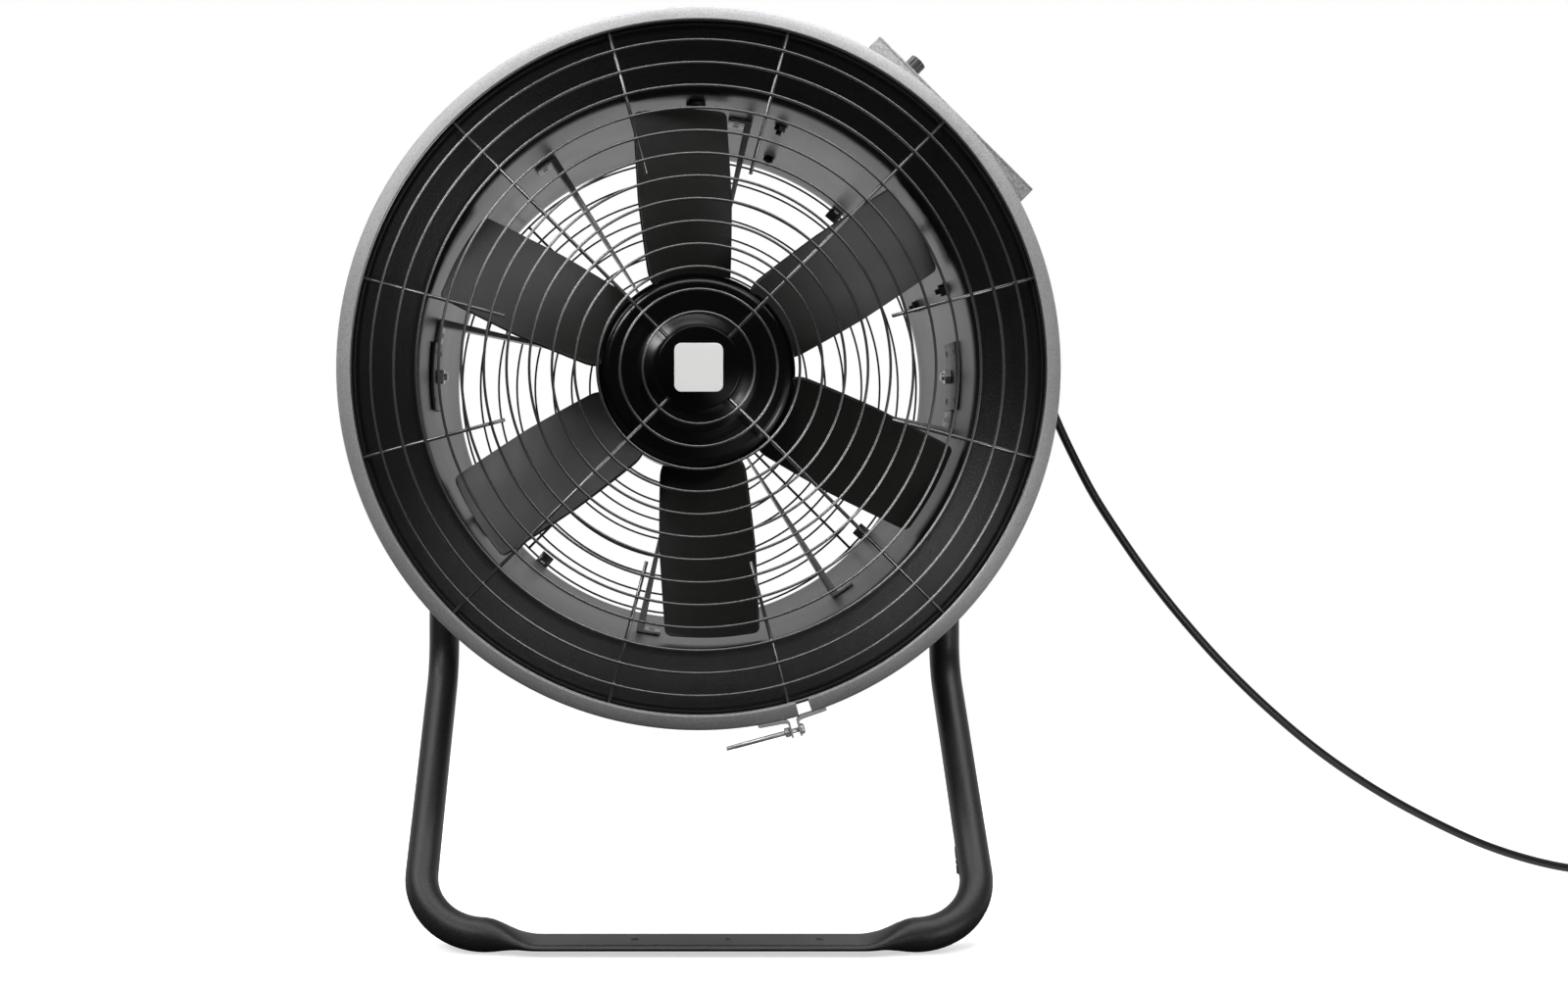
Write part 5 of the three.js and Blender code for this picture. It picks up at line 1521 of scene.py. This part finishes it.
@dataclass
class Impeller:
    """The glossy hub with its six pitched blades."""

    hub_radius: float = 88 * MM
    hub_front: float = -98 * MM
    hub_back: float = -32 * MM
    fillet: float = 11 * MM
    hub_wall: float = 3.5 * MM
    hub_step: float = 4 * MM
    first_angle: float = 33.5
    tip: float = 239 * MM
    plane: float = -64 * MM
    sheet: float = 3.4 * MM
    corner: float = 4.5 * MM
    root_size: Point = (95 * MM, 38.0)  # chord and pitch in degrees
    middle_size: Point = (94 * MM, 24.0)
    tip_size: Point = (88 * MM, 16.0)
    camber: float = 2.2 * MM
    root_sunk: float = 3 * MM
    root_taper: Point = (14 * MM, 5 * MM)  # how far it reaches out and how much it takes off
    grid: tuple[int, int] = (48, 16)
    grid_crowding: float = 1.35  # packs the grid's rows towards the tip
    bore: float = 7.3 * MM
    skirt: float = 16 * MM

    def build(self) -> None:
        """Mould the hub, and one blade that is copied round it."""
        self.hub()
        first = self.blade()
        for number in range(1, 7):
            piece = first if number == 1 else self.copy_round(first, number)
            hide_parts(f"blade_{number}")
            dress(piece, BLADE_BLACK, "rotor")
        paint_node("motor_shaft", BEARING_STEEL)
        paint_node("rotor_core", MOTOR_IRON)

    def hub(self) -> None:
        """Turn the hub's cup, with a raised middle and a soft front edge."""
        r, f, w = self.hub_radius, self.fillet, self.hub_wall
        y, step, back = self.hub_front, self.hub_step, self.hub_back
        outline = [(0.0, y), (38 * MM, y), (40.5 * MM, y + 0.4 * MM), (43 * MM, y + 1.2 * MM)]
        outline += [(50 * MM, y + step - 0.9 * MM), (52.5 * MM, y + step - 0.2 * MM)]
        outline += [(55 * MM, y + step)]
        outline += arc((r - f, y + step + f), f, -90, 0, 10)
        outline += [(r, back - 0.8 * MM), (r - 0.8 * MM, back), (r - w, back)]
        outline += arc((r - f, y + step + f), f - w, 0, -90, 8)
        outline += [(self.skirt, y + step + w), (self.skirt, back - w), (self.bore, back - w)]
        outline += [(self.bore, y + 13.7 * MM), (0.0, y + 13.7 * MM)]
        hub = turned("hub_cup", outline, 160, smooth_angle=40)
        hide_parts("hub")
        dress(hub, HUB_BLACK, "rotor")

    def size_at(self, share: float) -> Point:
        """The blade's size on the way from root to tip.

        Args:
            share: From 0 at the root to 1 at the tip.

        Returns:
            Its chord there, and its pitch in radians.
        """
        low, high, t = (self.root_size, self.middle_size, share * 2)
        if share >= 0.5:
            low, high, t = (self.middle_size, self.tip_size, share * 2 - 1)
        return low[0] + (high[0] - low[0]) * t, math.radians(low[1] + (high[1] - low[1]) * t)

    def spot(self, share: float, across: float) -> Vector:
        """A point of the blade's middle sheet.

        Args:
            share: From 0 at the root to 1 at the tip.
            across: From -1 at one edge to 1 at the other.

        Returns:
            The point, for a blade at the first angle.
        """
        root = self.hub_radius - self.root_sunk
        r = root + share * (self.tip - root)
        chord, pitch = self.size_at(share)
        near_tip = max(0.0, r - (self.tip - self.corner)) / self.corner
        half = chord / 2 - self.corner * (1 - math.sqrt(max(0.0, 1 - near_tip**2)))
        taper_reach, taper = self.root_taper
        half -= taper * max(0.0, 1 - (r - root) / taper_reach) ** 2
        s = across * half
        camber = self.camber * (1 - across**2)
        along = s * math.cos(pitch) + camber * math.sin(pitch)
        y = self.plane - s * math.sin(pitch) + camber * math.cos(pitch) - self.camber / 2
        return around(self.first_angle + math.degrees(along / r), r, y)

    def blade(self) -> bpy.types.Object:
        """Shape one blade from a flat grid, and give it its thickness and rounded edges.

        Returns:
            The blade at the first angle.
        """
        long, wide = self.grid
        bpy.ops.object.select_all(action="DESELECT")
        bpy.ops.mesh.primitive_grid_add(x_subdivisions=long, y_subdivisions=wide, size=2)
        piece = bpy.context.active_object
        for vertex in piece.data.vertices:
            share = (vertex.co.x + 1) / 2
            vertex.co = self.spot(1 - (1 - share) ** self.grid_crowding, vertex.co.y)
        select_only(piece)
        bpy.ops.object.mode_set(mode="EDIT")
        bpy.ops.mesh.select_all(action="SELECT")
        bpy.ops.mesh.normals_make_consistent(inside=False)
        bpy.ops.object.mode_set(mode="OBJECT")
        thick = piece.modifiers.new("thickness", "SOLIDIFY")
        thick.thickness = self.sheet
        thick.offset = 0.0
        bpy.ops.object.modifier_apply(modifier=thick.name)
        settle(piece, "blade_moulded_1")
        soften(piece, 1.2 * MM, 3, 40)
        return piece

    def copy_round(self, first: bpy.types.Object, number: int) -> bpy.types.Object:
        """Copy the first blade to its place round the hub.

        Args:
            first: The finished blade.
            number: Which of the six it becomes.

        Returns:
            The copy, with its own mesh.
        """
        piece = bpy.data.objects.new(f"blade_moulded_{number}", first.data.copy())
        bpy.context.scene.collection.objects.link(piece)
        turn = Matrix.Rotation(math.radians(-60 * (number - 1)), 4, "Y")
        centre = Matrix.Translation((0, 0, AXIS_Z))
        piece.matrix_world = centre @ turn @ centre.inverted()
        select_only(piece)
        bpy.ops.object.transform_apply(location=True, rotation=True, scale=True)
        return piece


@dataclass
class Motor:
    """The motor in its cradle, held in the barrel by eight flat struts."""

    radius: float = 58 * MM
    front: float = -18 * MM
    back: float = 78 * MM
    cover_depth: float = 4.3 * MM
    fins: Point = (26 * MM, 68 * MM)  # where their row begins and ends along Y
    fin_pitch: float = 5.6 * MM
    fin_depth: float = 2.2 * MM
    screw_circle: float = 52.2 * MM
    screw_angle: float = 22.0
    strut_first: float = 77.5
    strut_turn: float = 13 * MM  # from the strut's middle to its rivets, along the wall
    strut_rivets: Point = (1.5 * MM, 14.5 * MM)
    seat: float = 244.2 * MM

    def build(self) -> None:
        """Build the housing, its covers, the cradle and the struts."""
        self.housing()
        self.cover("motor_front_cover", self.front, 1)
        self.cover("motor_rear_cover", self.back, -1)
        self.cradle_ring()
        for number in range(1, 9):
            self.strut(number)
        for node in ("front_bearing", "rear_bearing"):
            paint_node(node, BEARING_STEEL)
        paint_node("stator", MOTOR_IRON)

    def housing(self) -> None:
        """Turn the housing with its row of cooling fins."""
        r, low = self.radius, self.radius - self.fin_depth
        front, back = self.front + self.cover_depth, self.back - self.cover_depth
        at, last = self.fins
        outline = [(55 * MM, front), (r, front), (r, at - 1.6 * MM)]
        while at < last:
            outline += [(low, at), (low, at + 2.6 * MM), (r, at + 3.0 * MM), (r, at + 5.2 * MM)]
            at += self.fin_pitch
        outline += [(r, back), (55 * MM, back)]
        body = turned("motor_body", outline, 128)
        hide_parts("motor_housing")
        dress(body, MOTOR_BLACK, "drum")

    def cover(self, node: str, outside: float, inward: int) -> None:
        """Fit one end cover with its screws.

        Args:
            node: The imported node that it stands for.
            outside: Where its outer face lies.
            inward: 1 where the motor lies behind it, -1 where it lies in front.
        """
        hole = 9.0 if inward > 0 else 0.0
        plan = [(hole, 0), (30, 0), (32, 1.4), (46, 1.4), (48, 0), (56.2, 0), (58, 1.4), (58, 4)]
        plan += [(20.8, 4), (20.8, 15), (17.8, 15), (17.8, 4), (hole, 4)]
        outline = [(r, outside + inward * deep) for r, deep in in_mm(plan)]
        made = turned(f"{node}_dressed", outline, 128)
        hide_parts(node)
        dress(made, MOTOR_BLACK, "drum")
        out = Vector((0, -inward, 0))
        heads = []
        for quarter in range(4):
            spot = around(self.screw_angle + 90 * quarter, self.screw_circle, outside)
            heads.append(hexagon(f"cover_screw_{quarter}", spot, out, 7 * MM, 2.6 * MM))
        dress(joined(f"{node}_screws", heads), ZINC, "drum")

    def cradle_ring(self) -> None:
        """Turn the ring that the struts carry, with its two softened edges."""
        plan = [(58.3, -6.6), (58.7, -7), (60.9, -7), (61.3, -6.6)]
        plan += [(61.3, 22.6), (60.9, 23), (58.7, 23), (58.3, 22.6)]
        made = turned("cradle_ring", in_mm(plan), 128)
        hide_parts("motor_cradle")
        dress(made, STRUT_GREY, "drum")

    def strut(self, number: int) -> None:
        """One flat strut with its turned foot on the wall and two rivets through it.

        Args:
            number: Which of the eight.
        """
        made = copied(f"strut_{number}", 0.8 * MM)
        dress(made, STRUT_GREY, "drum")
        angle = self.strut_first + 45 * (number - 1)
        foot = angle + math.degrees(self.strut_turn / self.seat)
        inward = around(foot, -1) - around(foot, 0)
        rivets = []
        for y in self.strut_rivets:
            spot = around(foot, self.seat - 3 * MM, y)
            rivets.append(rivet("strut_rivet", spot, inward, 2.8 * MM, 0.9 * MM))
        dress(joined(f"strut_rivets_{number}", rivets), STRUT_GREY, "drum")


# ---------------------------------------------------------------- stand


@dataclass
class Stand:
    """The bent tube that carries the drum, with its two rear legs, feet and hand knobs."""

    tube: float = 14 * MM
    leg_x: float = 234.7 * MM
    knee_z: float = 212 * MM
    bar_y: float = -197 * MM
    corner: float = 58 * MM
    knee: float = 60 * MM
    post_x: float = 262 * MM
    bend_low: float = 288 * MM
    bend_high: float = 376 * MM
    post_bend: float = 90 * MM
    post_top: float = 22 * MM
    post_flat: float = 9 * MM
    post_flat_width: float = 40 * MM
    flat_start: float = 46 * MM
    flat_full: float = 26 * MM
    bar_flat: float = 5 * MM
    bar_flat_width: float = 41 * MM
    bar_flat_z: float = 7.2 * MM
    bar_flat_shift: float = 1.5 * MM
    bar_flat_x: float = 133 * MM
    bar_flat_end: float = 178 * MM
    flat_sharpness: float = 2.2  # how soon the round of the tube gives way to the flat
    rear_tube: float = 7.5 * MM
    rear_top: Place = (234.7 * MM, 0.0, 262 * MM)
    rear_foot: Place = (270 * MM, 76 * MM, 0.0)
    cap_radius: float = 9.8  # millimetres, as the rest of the cap's outline
    sole: float = 0.1 * MM  # the height at which the cap is cut level
    bar_rivet_line: float = 4 * MM  # behind the bar's middle
    rounding: int = 10
    longest_step: float = 7 * MM
    knob: float = 25 * MM
    knob_lobe: float = 0.115
    knob_face: float = 266.8 * MM
    stud_inner: float = 231.4 * MM

    def build(self) -> None:
        """Bend the frame, weld on the rear legs and fit the feet and knobs."""
        self.frame()
        self.bar_rivets()
        for side, word in ((1, "right"), (-1, "left")):
            self.rear_leg(side, word)
            self.rear_cap(side, word)
            self.hand_knob(side, word)

    def bends(self) -> list[tuple[Vector, float]]:
        """Place the frame's corners on the right side.

        Returns:
            Each corner, from the post's top to the bar's middle, with its bend's radius.
        """
        return [
            (Vector((self.post_x, 0, AXIS_Z + self.post_top)), 0.0),
            (Vector((self.post_x, 0, self.bend_high)), self.post_bend),
            (Vector((self.leg_x, 0, self.bend_low)), self.post_bend),
            (Vector((self.leg_x, 0, self.knee_z)), self.knee),
            (Vector((self.leg_x, self.bar_y, self.tube)), self.corner),
            (Vector((0, self.bar_y, self.tube)), 0.0),
        ]

    def half_line(self) -> list[Vector]:
        """Round the corners of the frame's right half.

        Returns:
            Its middle line, from the top of the post to the bar's middle.
        """
        corners = self.bends()
        line = [corners[0][0]]
        for (before, _), (spot, radius), (after, _) in zip(corners, corners[1:], corners[2:]):
            into, out = (spot - before).normalized(), (after - spot).normalized()
            turn = into.angle(out)
            start = spot - into * radius * math.tan(turn / 2)
            inward = (out - into * into.dot(out)).normalized()
            steps = max(4, round(math.degrees(turn) / 5))
            for k in range(steps + 1):
                a = turn * k / steps
                bend = into * math.sin(a) + inward * (1 - math.cos(a))
                line.append(start + bend * radius)
        line.append(corners[-1][0])
        return self._stepped(line, self.longest_step)

    @staticmethod
    def _stepped(line: list[Vector], longest: float) -> list[Vector]:
        """Add points where two of a line lie too far apart.

        Args:
            line: The points.
            longest: The longest step that is left.

        Returns:
            The finer line.
        """
        fine = [line[0]]
        for spot in line[1:]:
            count = max(1, math.ceil((spot - fine[-1]).length / longest))
            before = fine[-1]
            fine += [before.lerp(spot, k / count) for k in range(1, count + 1)]
        return fine

    def frame(self) -> None:
        """Bend the tube in one piece, and press its front bar and its two ends flat."""
        right = self.half_line()
        left = [Vector((-spot.x, spot.y, spot.z)) for spot in reversed(right[:-1])]
        frame = bent_rod("stand_tube", right + left, self.tube, self.rounding)
        bpy.ops.object.mode_set(mode="EDIT")
        bpy.ops.mesh.select_all(action="SELECT")
        bpy.ops.mesh.remove_doubles(threshold=0.01 * MM)
        bpy.ops.mesh.normals_make_consistent(inside=False)
        bpy.ops.object.mode_set(mode="OBJECT")
        for vertex in frame.data.vertices:
            vertex.co = self.pressed(vertex.co)
        settle(frame, "stand_tube", 40)
        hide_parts("stand_frame")
        dress(frame, STAND_BLACK, "stand")

    def pressed(self, spot: Vector) -> Vector:
        """Where a point of the round tube goes when its flats are pressed.

        Args:
            spot: The point on the round tube.

        Returns:
            The point on the pressed one.
        """
        x, y, z = spot
        if z < 2 * self.tube + 1 * MM:
            flat = 1 - smooth(abs(x), self.bar_flat_x, self.bar_flat_end)
            across = (y - self.bar_y) / self.tube
            up = (z - self.tube) / self.tube
            bulge = min(1.0, (1 - min(1.0, abs(across)) ** 6) ** 0.5 + 0.25)
            high = math.copysign(min(1.0, abs(up) * self.flat_sharpness), up)
            flat_z = self.bar_flat_z + high * self.bar_flat / 2 * bulge
            flat_y = self.bar_y + self.bar_flat_shift + across * self.bar_flat_width / 2
            return Vector((x, y + flat * (flat_y - y), z + flat * (flat_z - z)))
        if z > AXIS_Z - self.flat_start:
            flat = smooth(z, AXIS_Z - self.flat_start, AXIS_Z - self.flat_full)
            side = math.copysign(self.post_x, x)
            across = y / self.tube
            out = (x - side) / self.tube
            wide = math.copysign(min(1.0, abs(out) * self.flat_sharpness), out)
            flat_x = side + wide * self.post_flat / 2
            flat_y = across * self.post_flat_width / 2
            return Vector((x + flat * (flat_x - x), y + flat * (flat_y - y), z))
        return Vector(spot)

    def bar_rivets(self) -> None:
        """Close the pressed bar with its two rivets and the small dimple between them."""
        top = self.bar_flat_z + self.bar_flat / 2
        up = Vector((0, 0, 1))
        heads = []
        for x, radius in ((-54 * MM, 3.2 * MM), (99 * MM, 3.2 * MM), (23 * MM, 2.2 * MM)):
            spot = Vector((x, self.bar_y + self.bar_rivet_line, top))
            heads.append(rivet("bar_rivet", spot, up, radius, 0.9 * MM))
        dress(joined("bar_rivets", heads), STAND_BLACK, "stand")

    def rear_leg(self, side: int, word: str) -> None:
        """Weld one thin rear leg to its post.

        Args:
            side: 1 on the right and -1 on the left.
            word: The side's name.
        """
        top, foot = self.mirrored(self.rear_top, side), self.mirrored(self.rear_foot, side)
        along = (foot - top).normalized()
        start = top + along * self.tube * 1.1
        leg = rod(f"rear_tube_{word}", start, foot - along * 10 * MM, self.rear_tube, 40)
        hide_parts(f"rear_leg_{word}")
        dress(leg, STAND_BLACK, "stand")
        bead = [
            (0.0, 0.0), (12.0, 0.0), (11.2, 4.0), (9.2, 9.6), (7.8, 13.5), (7.4, 15.2), (0.0, 15.2)
        ]
        foot = top + along * 8 * MM
        weld = turned(f"leg_weld_{word}", in_mm(bead), 32, foot, along)
        dress(weld, STAND_BLACK, "stand")

    @staticmethod
    def mirrored(spot: tuple[float, float, float], side: int) -> Vector:
        """A point of the right side, or its mirror on the left."""
        return Vector((side * spot[0], spot[1], spot[2]))

    def rear_cap(self, side: int, word: str) -> None:
        """Push the rubber cap on one rear leg, and cut its sole level with the floor.

        Args:
            side: 1 on the right and -1 on the left.
            word: The side's name.
        """
        top, foot = self.mirrored(self.rear_top, side), self.mirrored(self.rear_foot, side)
        along = (top - foot).normalized()
        r = self.cap_radius
        plan = [(0, -10), (r, -10), (r, 8), (r - 0.8, 9), (r - 0.8, 11), (r, 12), (r, 14)]
        plan += [(r - 0.8, 15), (r - 0.8, 17), (r, 18), (r, 28.6), (r - 0.9, 30)]
        plan += [(7.6, 30), (7.4, 26), (0, 26)]
        cap = turned(f"rear_cap_{word}", in_mm(plan), 56, foot, along)
        select_only(cap)
        bpy.ops.object.mode_set(mode="EDIT")
        bpy.ops.mesh.select_all(action="SELECT")
        bpy.ops.mesh.bisect(
            plane_co=(0, 0, self.sole), plane_no=(0, 0, 1), use_fill=True, clear_inner=True
        )
        bpy.ops.object.mode_set(mode="OBJECT")
        bpy.ops.object.shade_smooth_by_angle(angle=math.radians(SMOOTH_ANGLE))
        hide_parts(f"rear_foot_{word}")
        dress(cap, RUBBER_BLACK, "stand")

    def hand_knob(self, side: int, word: str) -> None:
        """Mould one five-lobed hand knob with its boss, on its threaded stud.

        Args:
            side: 1 on the right and -1 on the left.
            word: The side's name.
        """
        out = Vector((side, 0, 0))
        lobe = self.knob_lobe
        outline = lobed(120, lambda a: self.knob * (1 - lobe + lobe * math.cos(5 * a)))
        grip = pressed(
            f"grip_{word}", outline, 0.0, 15.6 * MM, 2.6 * MM, soft_steps=4, smooth_angle=60
        )
        face = self.knob_face + 8 * MM
        centre = Matrix.Translation((face * side, 0, AXIS_Z))
        grip.matrix_world = centre @ turn_to(out) @ Matrix.Translation((0, 0, -AXIS_Z))
        settle(grip, f"grip_{word}", 60)
        boss_plan = [(0, 0), (11.4, 0), (12, 0.6), (11.6, 3), (10.4, 7), (9.8, 9.5), (0, 9.5)]
        start = Vector((side * self.knob_face, 0, AXIS_Z))
        boss = turned(f"boss_{word}", in_mm(boss_plan), 48, start, out)
        cap_plan = [(0, -1), (9.6, -1), (9.6, 0.1), (8.6, 0.1), (8.2, -0.35), (0, -0.35)]
        lid = turned(f"lid_{word}", in_mm(cap_plan), 48, start + out * 23.6 * MM, out)
        knob = joined(f"hand_knob_{word}_dressed", [grip, boss, lid])
        body = f"knob_{word}"
        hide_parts(f"hand_knob_{word}")
        dress(knob, KNOB_BLACK, body)
        inner = Vector((side * self.stud_inner, 0, AXIS_Z))
        stud = threaded(f"pivot_stud_{word}", inner, start + out * 1 * MM, 4 * MM, 1.25 * MM)
        dress(stud, ZINC, body)


# ---------------------------------------------------------------- control box


@dataclass
class ControlBox:
    """The box on the drum's upper right, with its lid, knob, cable gland and fixing bolts."""

    angle: float = 45.0
    outer: float = 333.5 * MM
    half: float = 98 * MM
    front: float = -60 * MM
    back: float = 160 * MM
    barrel: float = 247 * MM
    wing_angles: Point = (71.0, 19.0)
    bolt_ys: Point = (-28 * MM, 130 * MM)
    screw_along: float = 88 * MM
    screw_inset: float = 10 * MM
    barrel_inside: float = 244.2 * MM
    knob_along: float = 59 * MM
    knob_y: float = -25 * MM
    knob_radius: float = 8.2 * MM
    knob_flutes: int = 16
    flute_depth: float = 0.55 * MM
    gland_radial: float = 268 * MM
    gland_y: float = 60 * MM
    sleeve_from: float = 18.3  # millimetres from the box's lower end
    sleeve_length: float = 32.0
    sleeve_ribs: int = 7

    def place(self, radial: float, along: float, y: float) -> Vector:
        """A point of the box, from its own directions.

        Args:
            radial: How far out it is from the drum axis.
            along: How far along the box it is, towards the upper end.
            y: Where it lies along Y.

        Returns:
            The point.
        """
        a = math.radians(self.angle)
        out, up = Vector((math.cos(a), 0, math.sin(a))), Vector((-math.sin(a), 0, math.cos(a)))
        return Vector((0, y, AXIS_Z)) + out * radial + up * along

    def out(self) -> Vector:
        """The direction away from the drum axis."""
        return (self.place(1, 0, 0) - self.place(0, 0, 0)).normalized()

    def build(self) -> None:
        """Fold the box, close it and fit what goes in its walls."""
        box = copied("control_box", 0.7 * MM)
        dress(box, BOX_GREY, "drum")
        lid = copied("control_lid", 0.8 * MM, 3)
        dress(lid, BOX_GREY, "drum")
        paint_node("speed_controller", MOTOR_BLACK)
        self.lid_screws()
        self.wing_bolts()
        self.knob()
        self.gland()

    def lid_screws(self) -> None:
        """Sink a screw in each corner of the lid."""
        heads = []
        plan = [(0, -0.5), (3.6, -0.5), (3.6, 0.5), (3.0, 1.3), (1.9, 1.8)]
        plan += [(1.5, 1.8), (1.2, 0.9), (0, 0.9)]
        for along in (-self.screw_along, self.screw_along):
            for y in (self.front + self.screw_inset, self.back - self.screw_inset):
                spot = self.place(self.outer, along, y)
                heads.append(turned("lid_screw", in_mm(plan), 28, spot, self.out()))
        dress(joined("lid_screws", heads), ZINC, "drum")

    def wing_bolts(self) -> None:
        """Bolt each wing through the barrel, with its head outside and its nut inside."""
        heads, nuts = [], []
        bolt, sunk = 2.8 * MM, 1.1 * MM
        for angle in self.wing_angles:
            out = around(angle, 1) - around(angle, 0)
            for y in self.bolt_ys:
                seat = self.barrel + 2.2 * MM
                outside, inside = around(angle, seat, y), around(angle, self.barrel_inside, y)
                heads.append(washer("wing_washer", outside, out, 6.5 * MM, 1.2 * MM, bolt))
                heads.append(hexagon("wing_bolt", outside + out * sunk, out, 10 * MM, 4 * MM))
                nuts.append(washer("wing_washer_in", inside, -out, 6.5 * MM, 1.2 * MM, bolt))
                nuts.append(hexagon("wing_nut", inside - out * sunk, -out, 9.6 * MM, 5 * MM))
                nuts.append(threaded("wing_thread", inside, inside - out * 10 * MM, bolt, 1 * MM))
        dress(joined("wing_bolt_heads", heads), MOTOR_BLACK, "drum")
        dress(joined("wing_nuts", nuts), MOTOR_BLACK, "drum")

    def knob(self) -> None:
        """Mould the fluted speed knob with its skirt and pointer, and the collar under it."""
        base = self.place(self.outer + 0.35 * MM, self.knob_along, self.knob_y)
        out = self.out()
        outline = lobed(192, self.flute)
        grip = pressed("grip", outline, 0.0, 13.2 * MM, 0.5 * MM, soft_steps=2, smooth_angle=50)
        seat = Matrix.Translation(base + out * 4.4 * MM)
        grip.matrix_world = seat @ turn_to(out) @ Matrix.Translation((0, 0, -AXIS_Z))
        settle(grip, "grip", 50)
        skirt_plan = [(0, 0), (9.2, 0), (9.7, 0.6), (9.7, 2.6), (9.1, 3.6), (8.0, 4.6), (0, 4.6)]
        skirt = turned("skirt", in_mm(skirt_plan), 64, base, out)
        middle = base + out * 17.55 * MM
        pointer = rod("pointer", middle, middle + self.across() * 7 * MM, 0.5 * MM, 12)
        spindle = rod("spindle", base - out * 6 * MM, base + out * 1 * MM, 3 * MM, 24)
        knob = joined("speed_knob_dressed", [grip, skirt, spindle])
        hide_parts("speed_knob")
        dress(knob, KNOB_BLACK, "speed_knob")
        dress(pointer, BADGE_WHITE, "speed_knob")

    def flute(self, angle: float) -> float:
        """The speed knob's radius at an angle, with a shallow dip for each flute."""
        dip = max(0.0, math.cos(self.knob_flutes * angle)) ** 2
        return self.knob_radius - self.flute_depth * dip

    def across(self) -> Vector:
        """The direction along the box towards its upper end."""
        return (self.place(0, 1, 0) - self.place(0, 0, 0)).normalized()

    def gland(self) -> None:
        """Screw the gland in the lower end, with the ribbed sleeve that the cord leaves through."""
        down = -self.across()
        base = self.place(self.gland_radial, -self.half, self.gland_y)
        nut = hexagon("gland_hex", base + down * 0.3 * MM, down, 17.2 * MM, 6 * MM, 4.4 * MM)
        plan = [(4.4, 6.2), (9.2, 6.2), (9.4, 7), (9.4, 11.5)]
        plan += [(8.6, 15), (7.6, 17.4), (6.8, 18), (4.4, 18)]
        dome = turned("gland_dome", in_mm(plan), 48, base, down)
        thread = washer("gland_neck", base - down * 4 * MM, down, 7 * MM, 4.4 * MM, 4.4 * MM)
        gland = joined("gland_dressed", [nut, dome, thread])
        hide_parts("cable_gland")
        dress(gland, KNOB_BLACK, "drum")
        start, length, count = self.sleeve_from, self.sleeve_length, self.sleeve_ribs
        outline = [(0.0, start - 5), (4.2, start - 5), (4.2, start), (6.6, start)]
        for i in range(count):
            at = start + 0.8 + (length - 3) * i / count
            r = 6.6 - 1.9 * (i + 0.5) / count
            outline += [(r, at), (r, at + 2.4), (r - 0.9, at + 2.7), (r - 0.9, at + 3.8)]
        outline += [(4.8, start + length - 1.6), (4.6, start + length), (0.0, start + length)]
        sleeve = turned("strain_sleeve", in_mm(outline), 48, base, down, smooth_angle=30)
        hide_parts("strain_relief")
        dress(sleeve, RUBBER_BLACK, "drum")


def main() -> None:
    """Build every part of the fan."""
    logging.basicConfig(level=logging.INFO, format="%(message)s")
    Studio().build()
    SupplyCord().build()
    for part in (Drum(), ClampBand(), Guards(), Impeller(), Motor(), Stand(), ControlBox()):
        part.build()


if __name__ == "__main__":
    main()
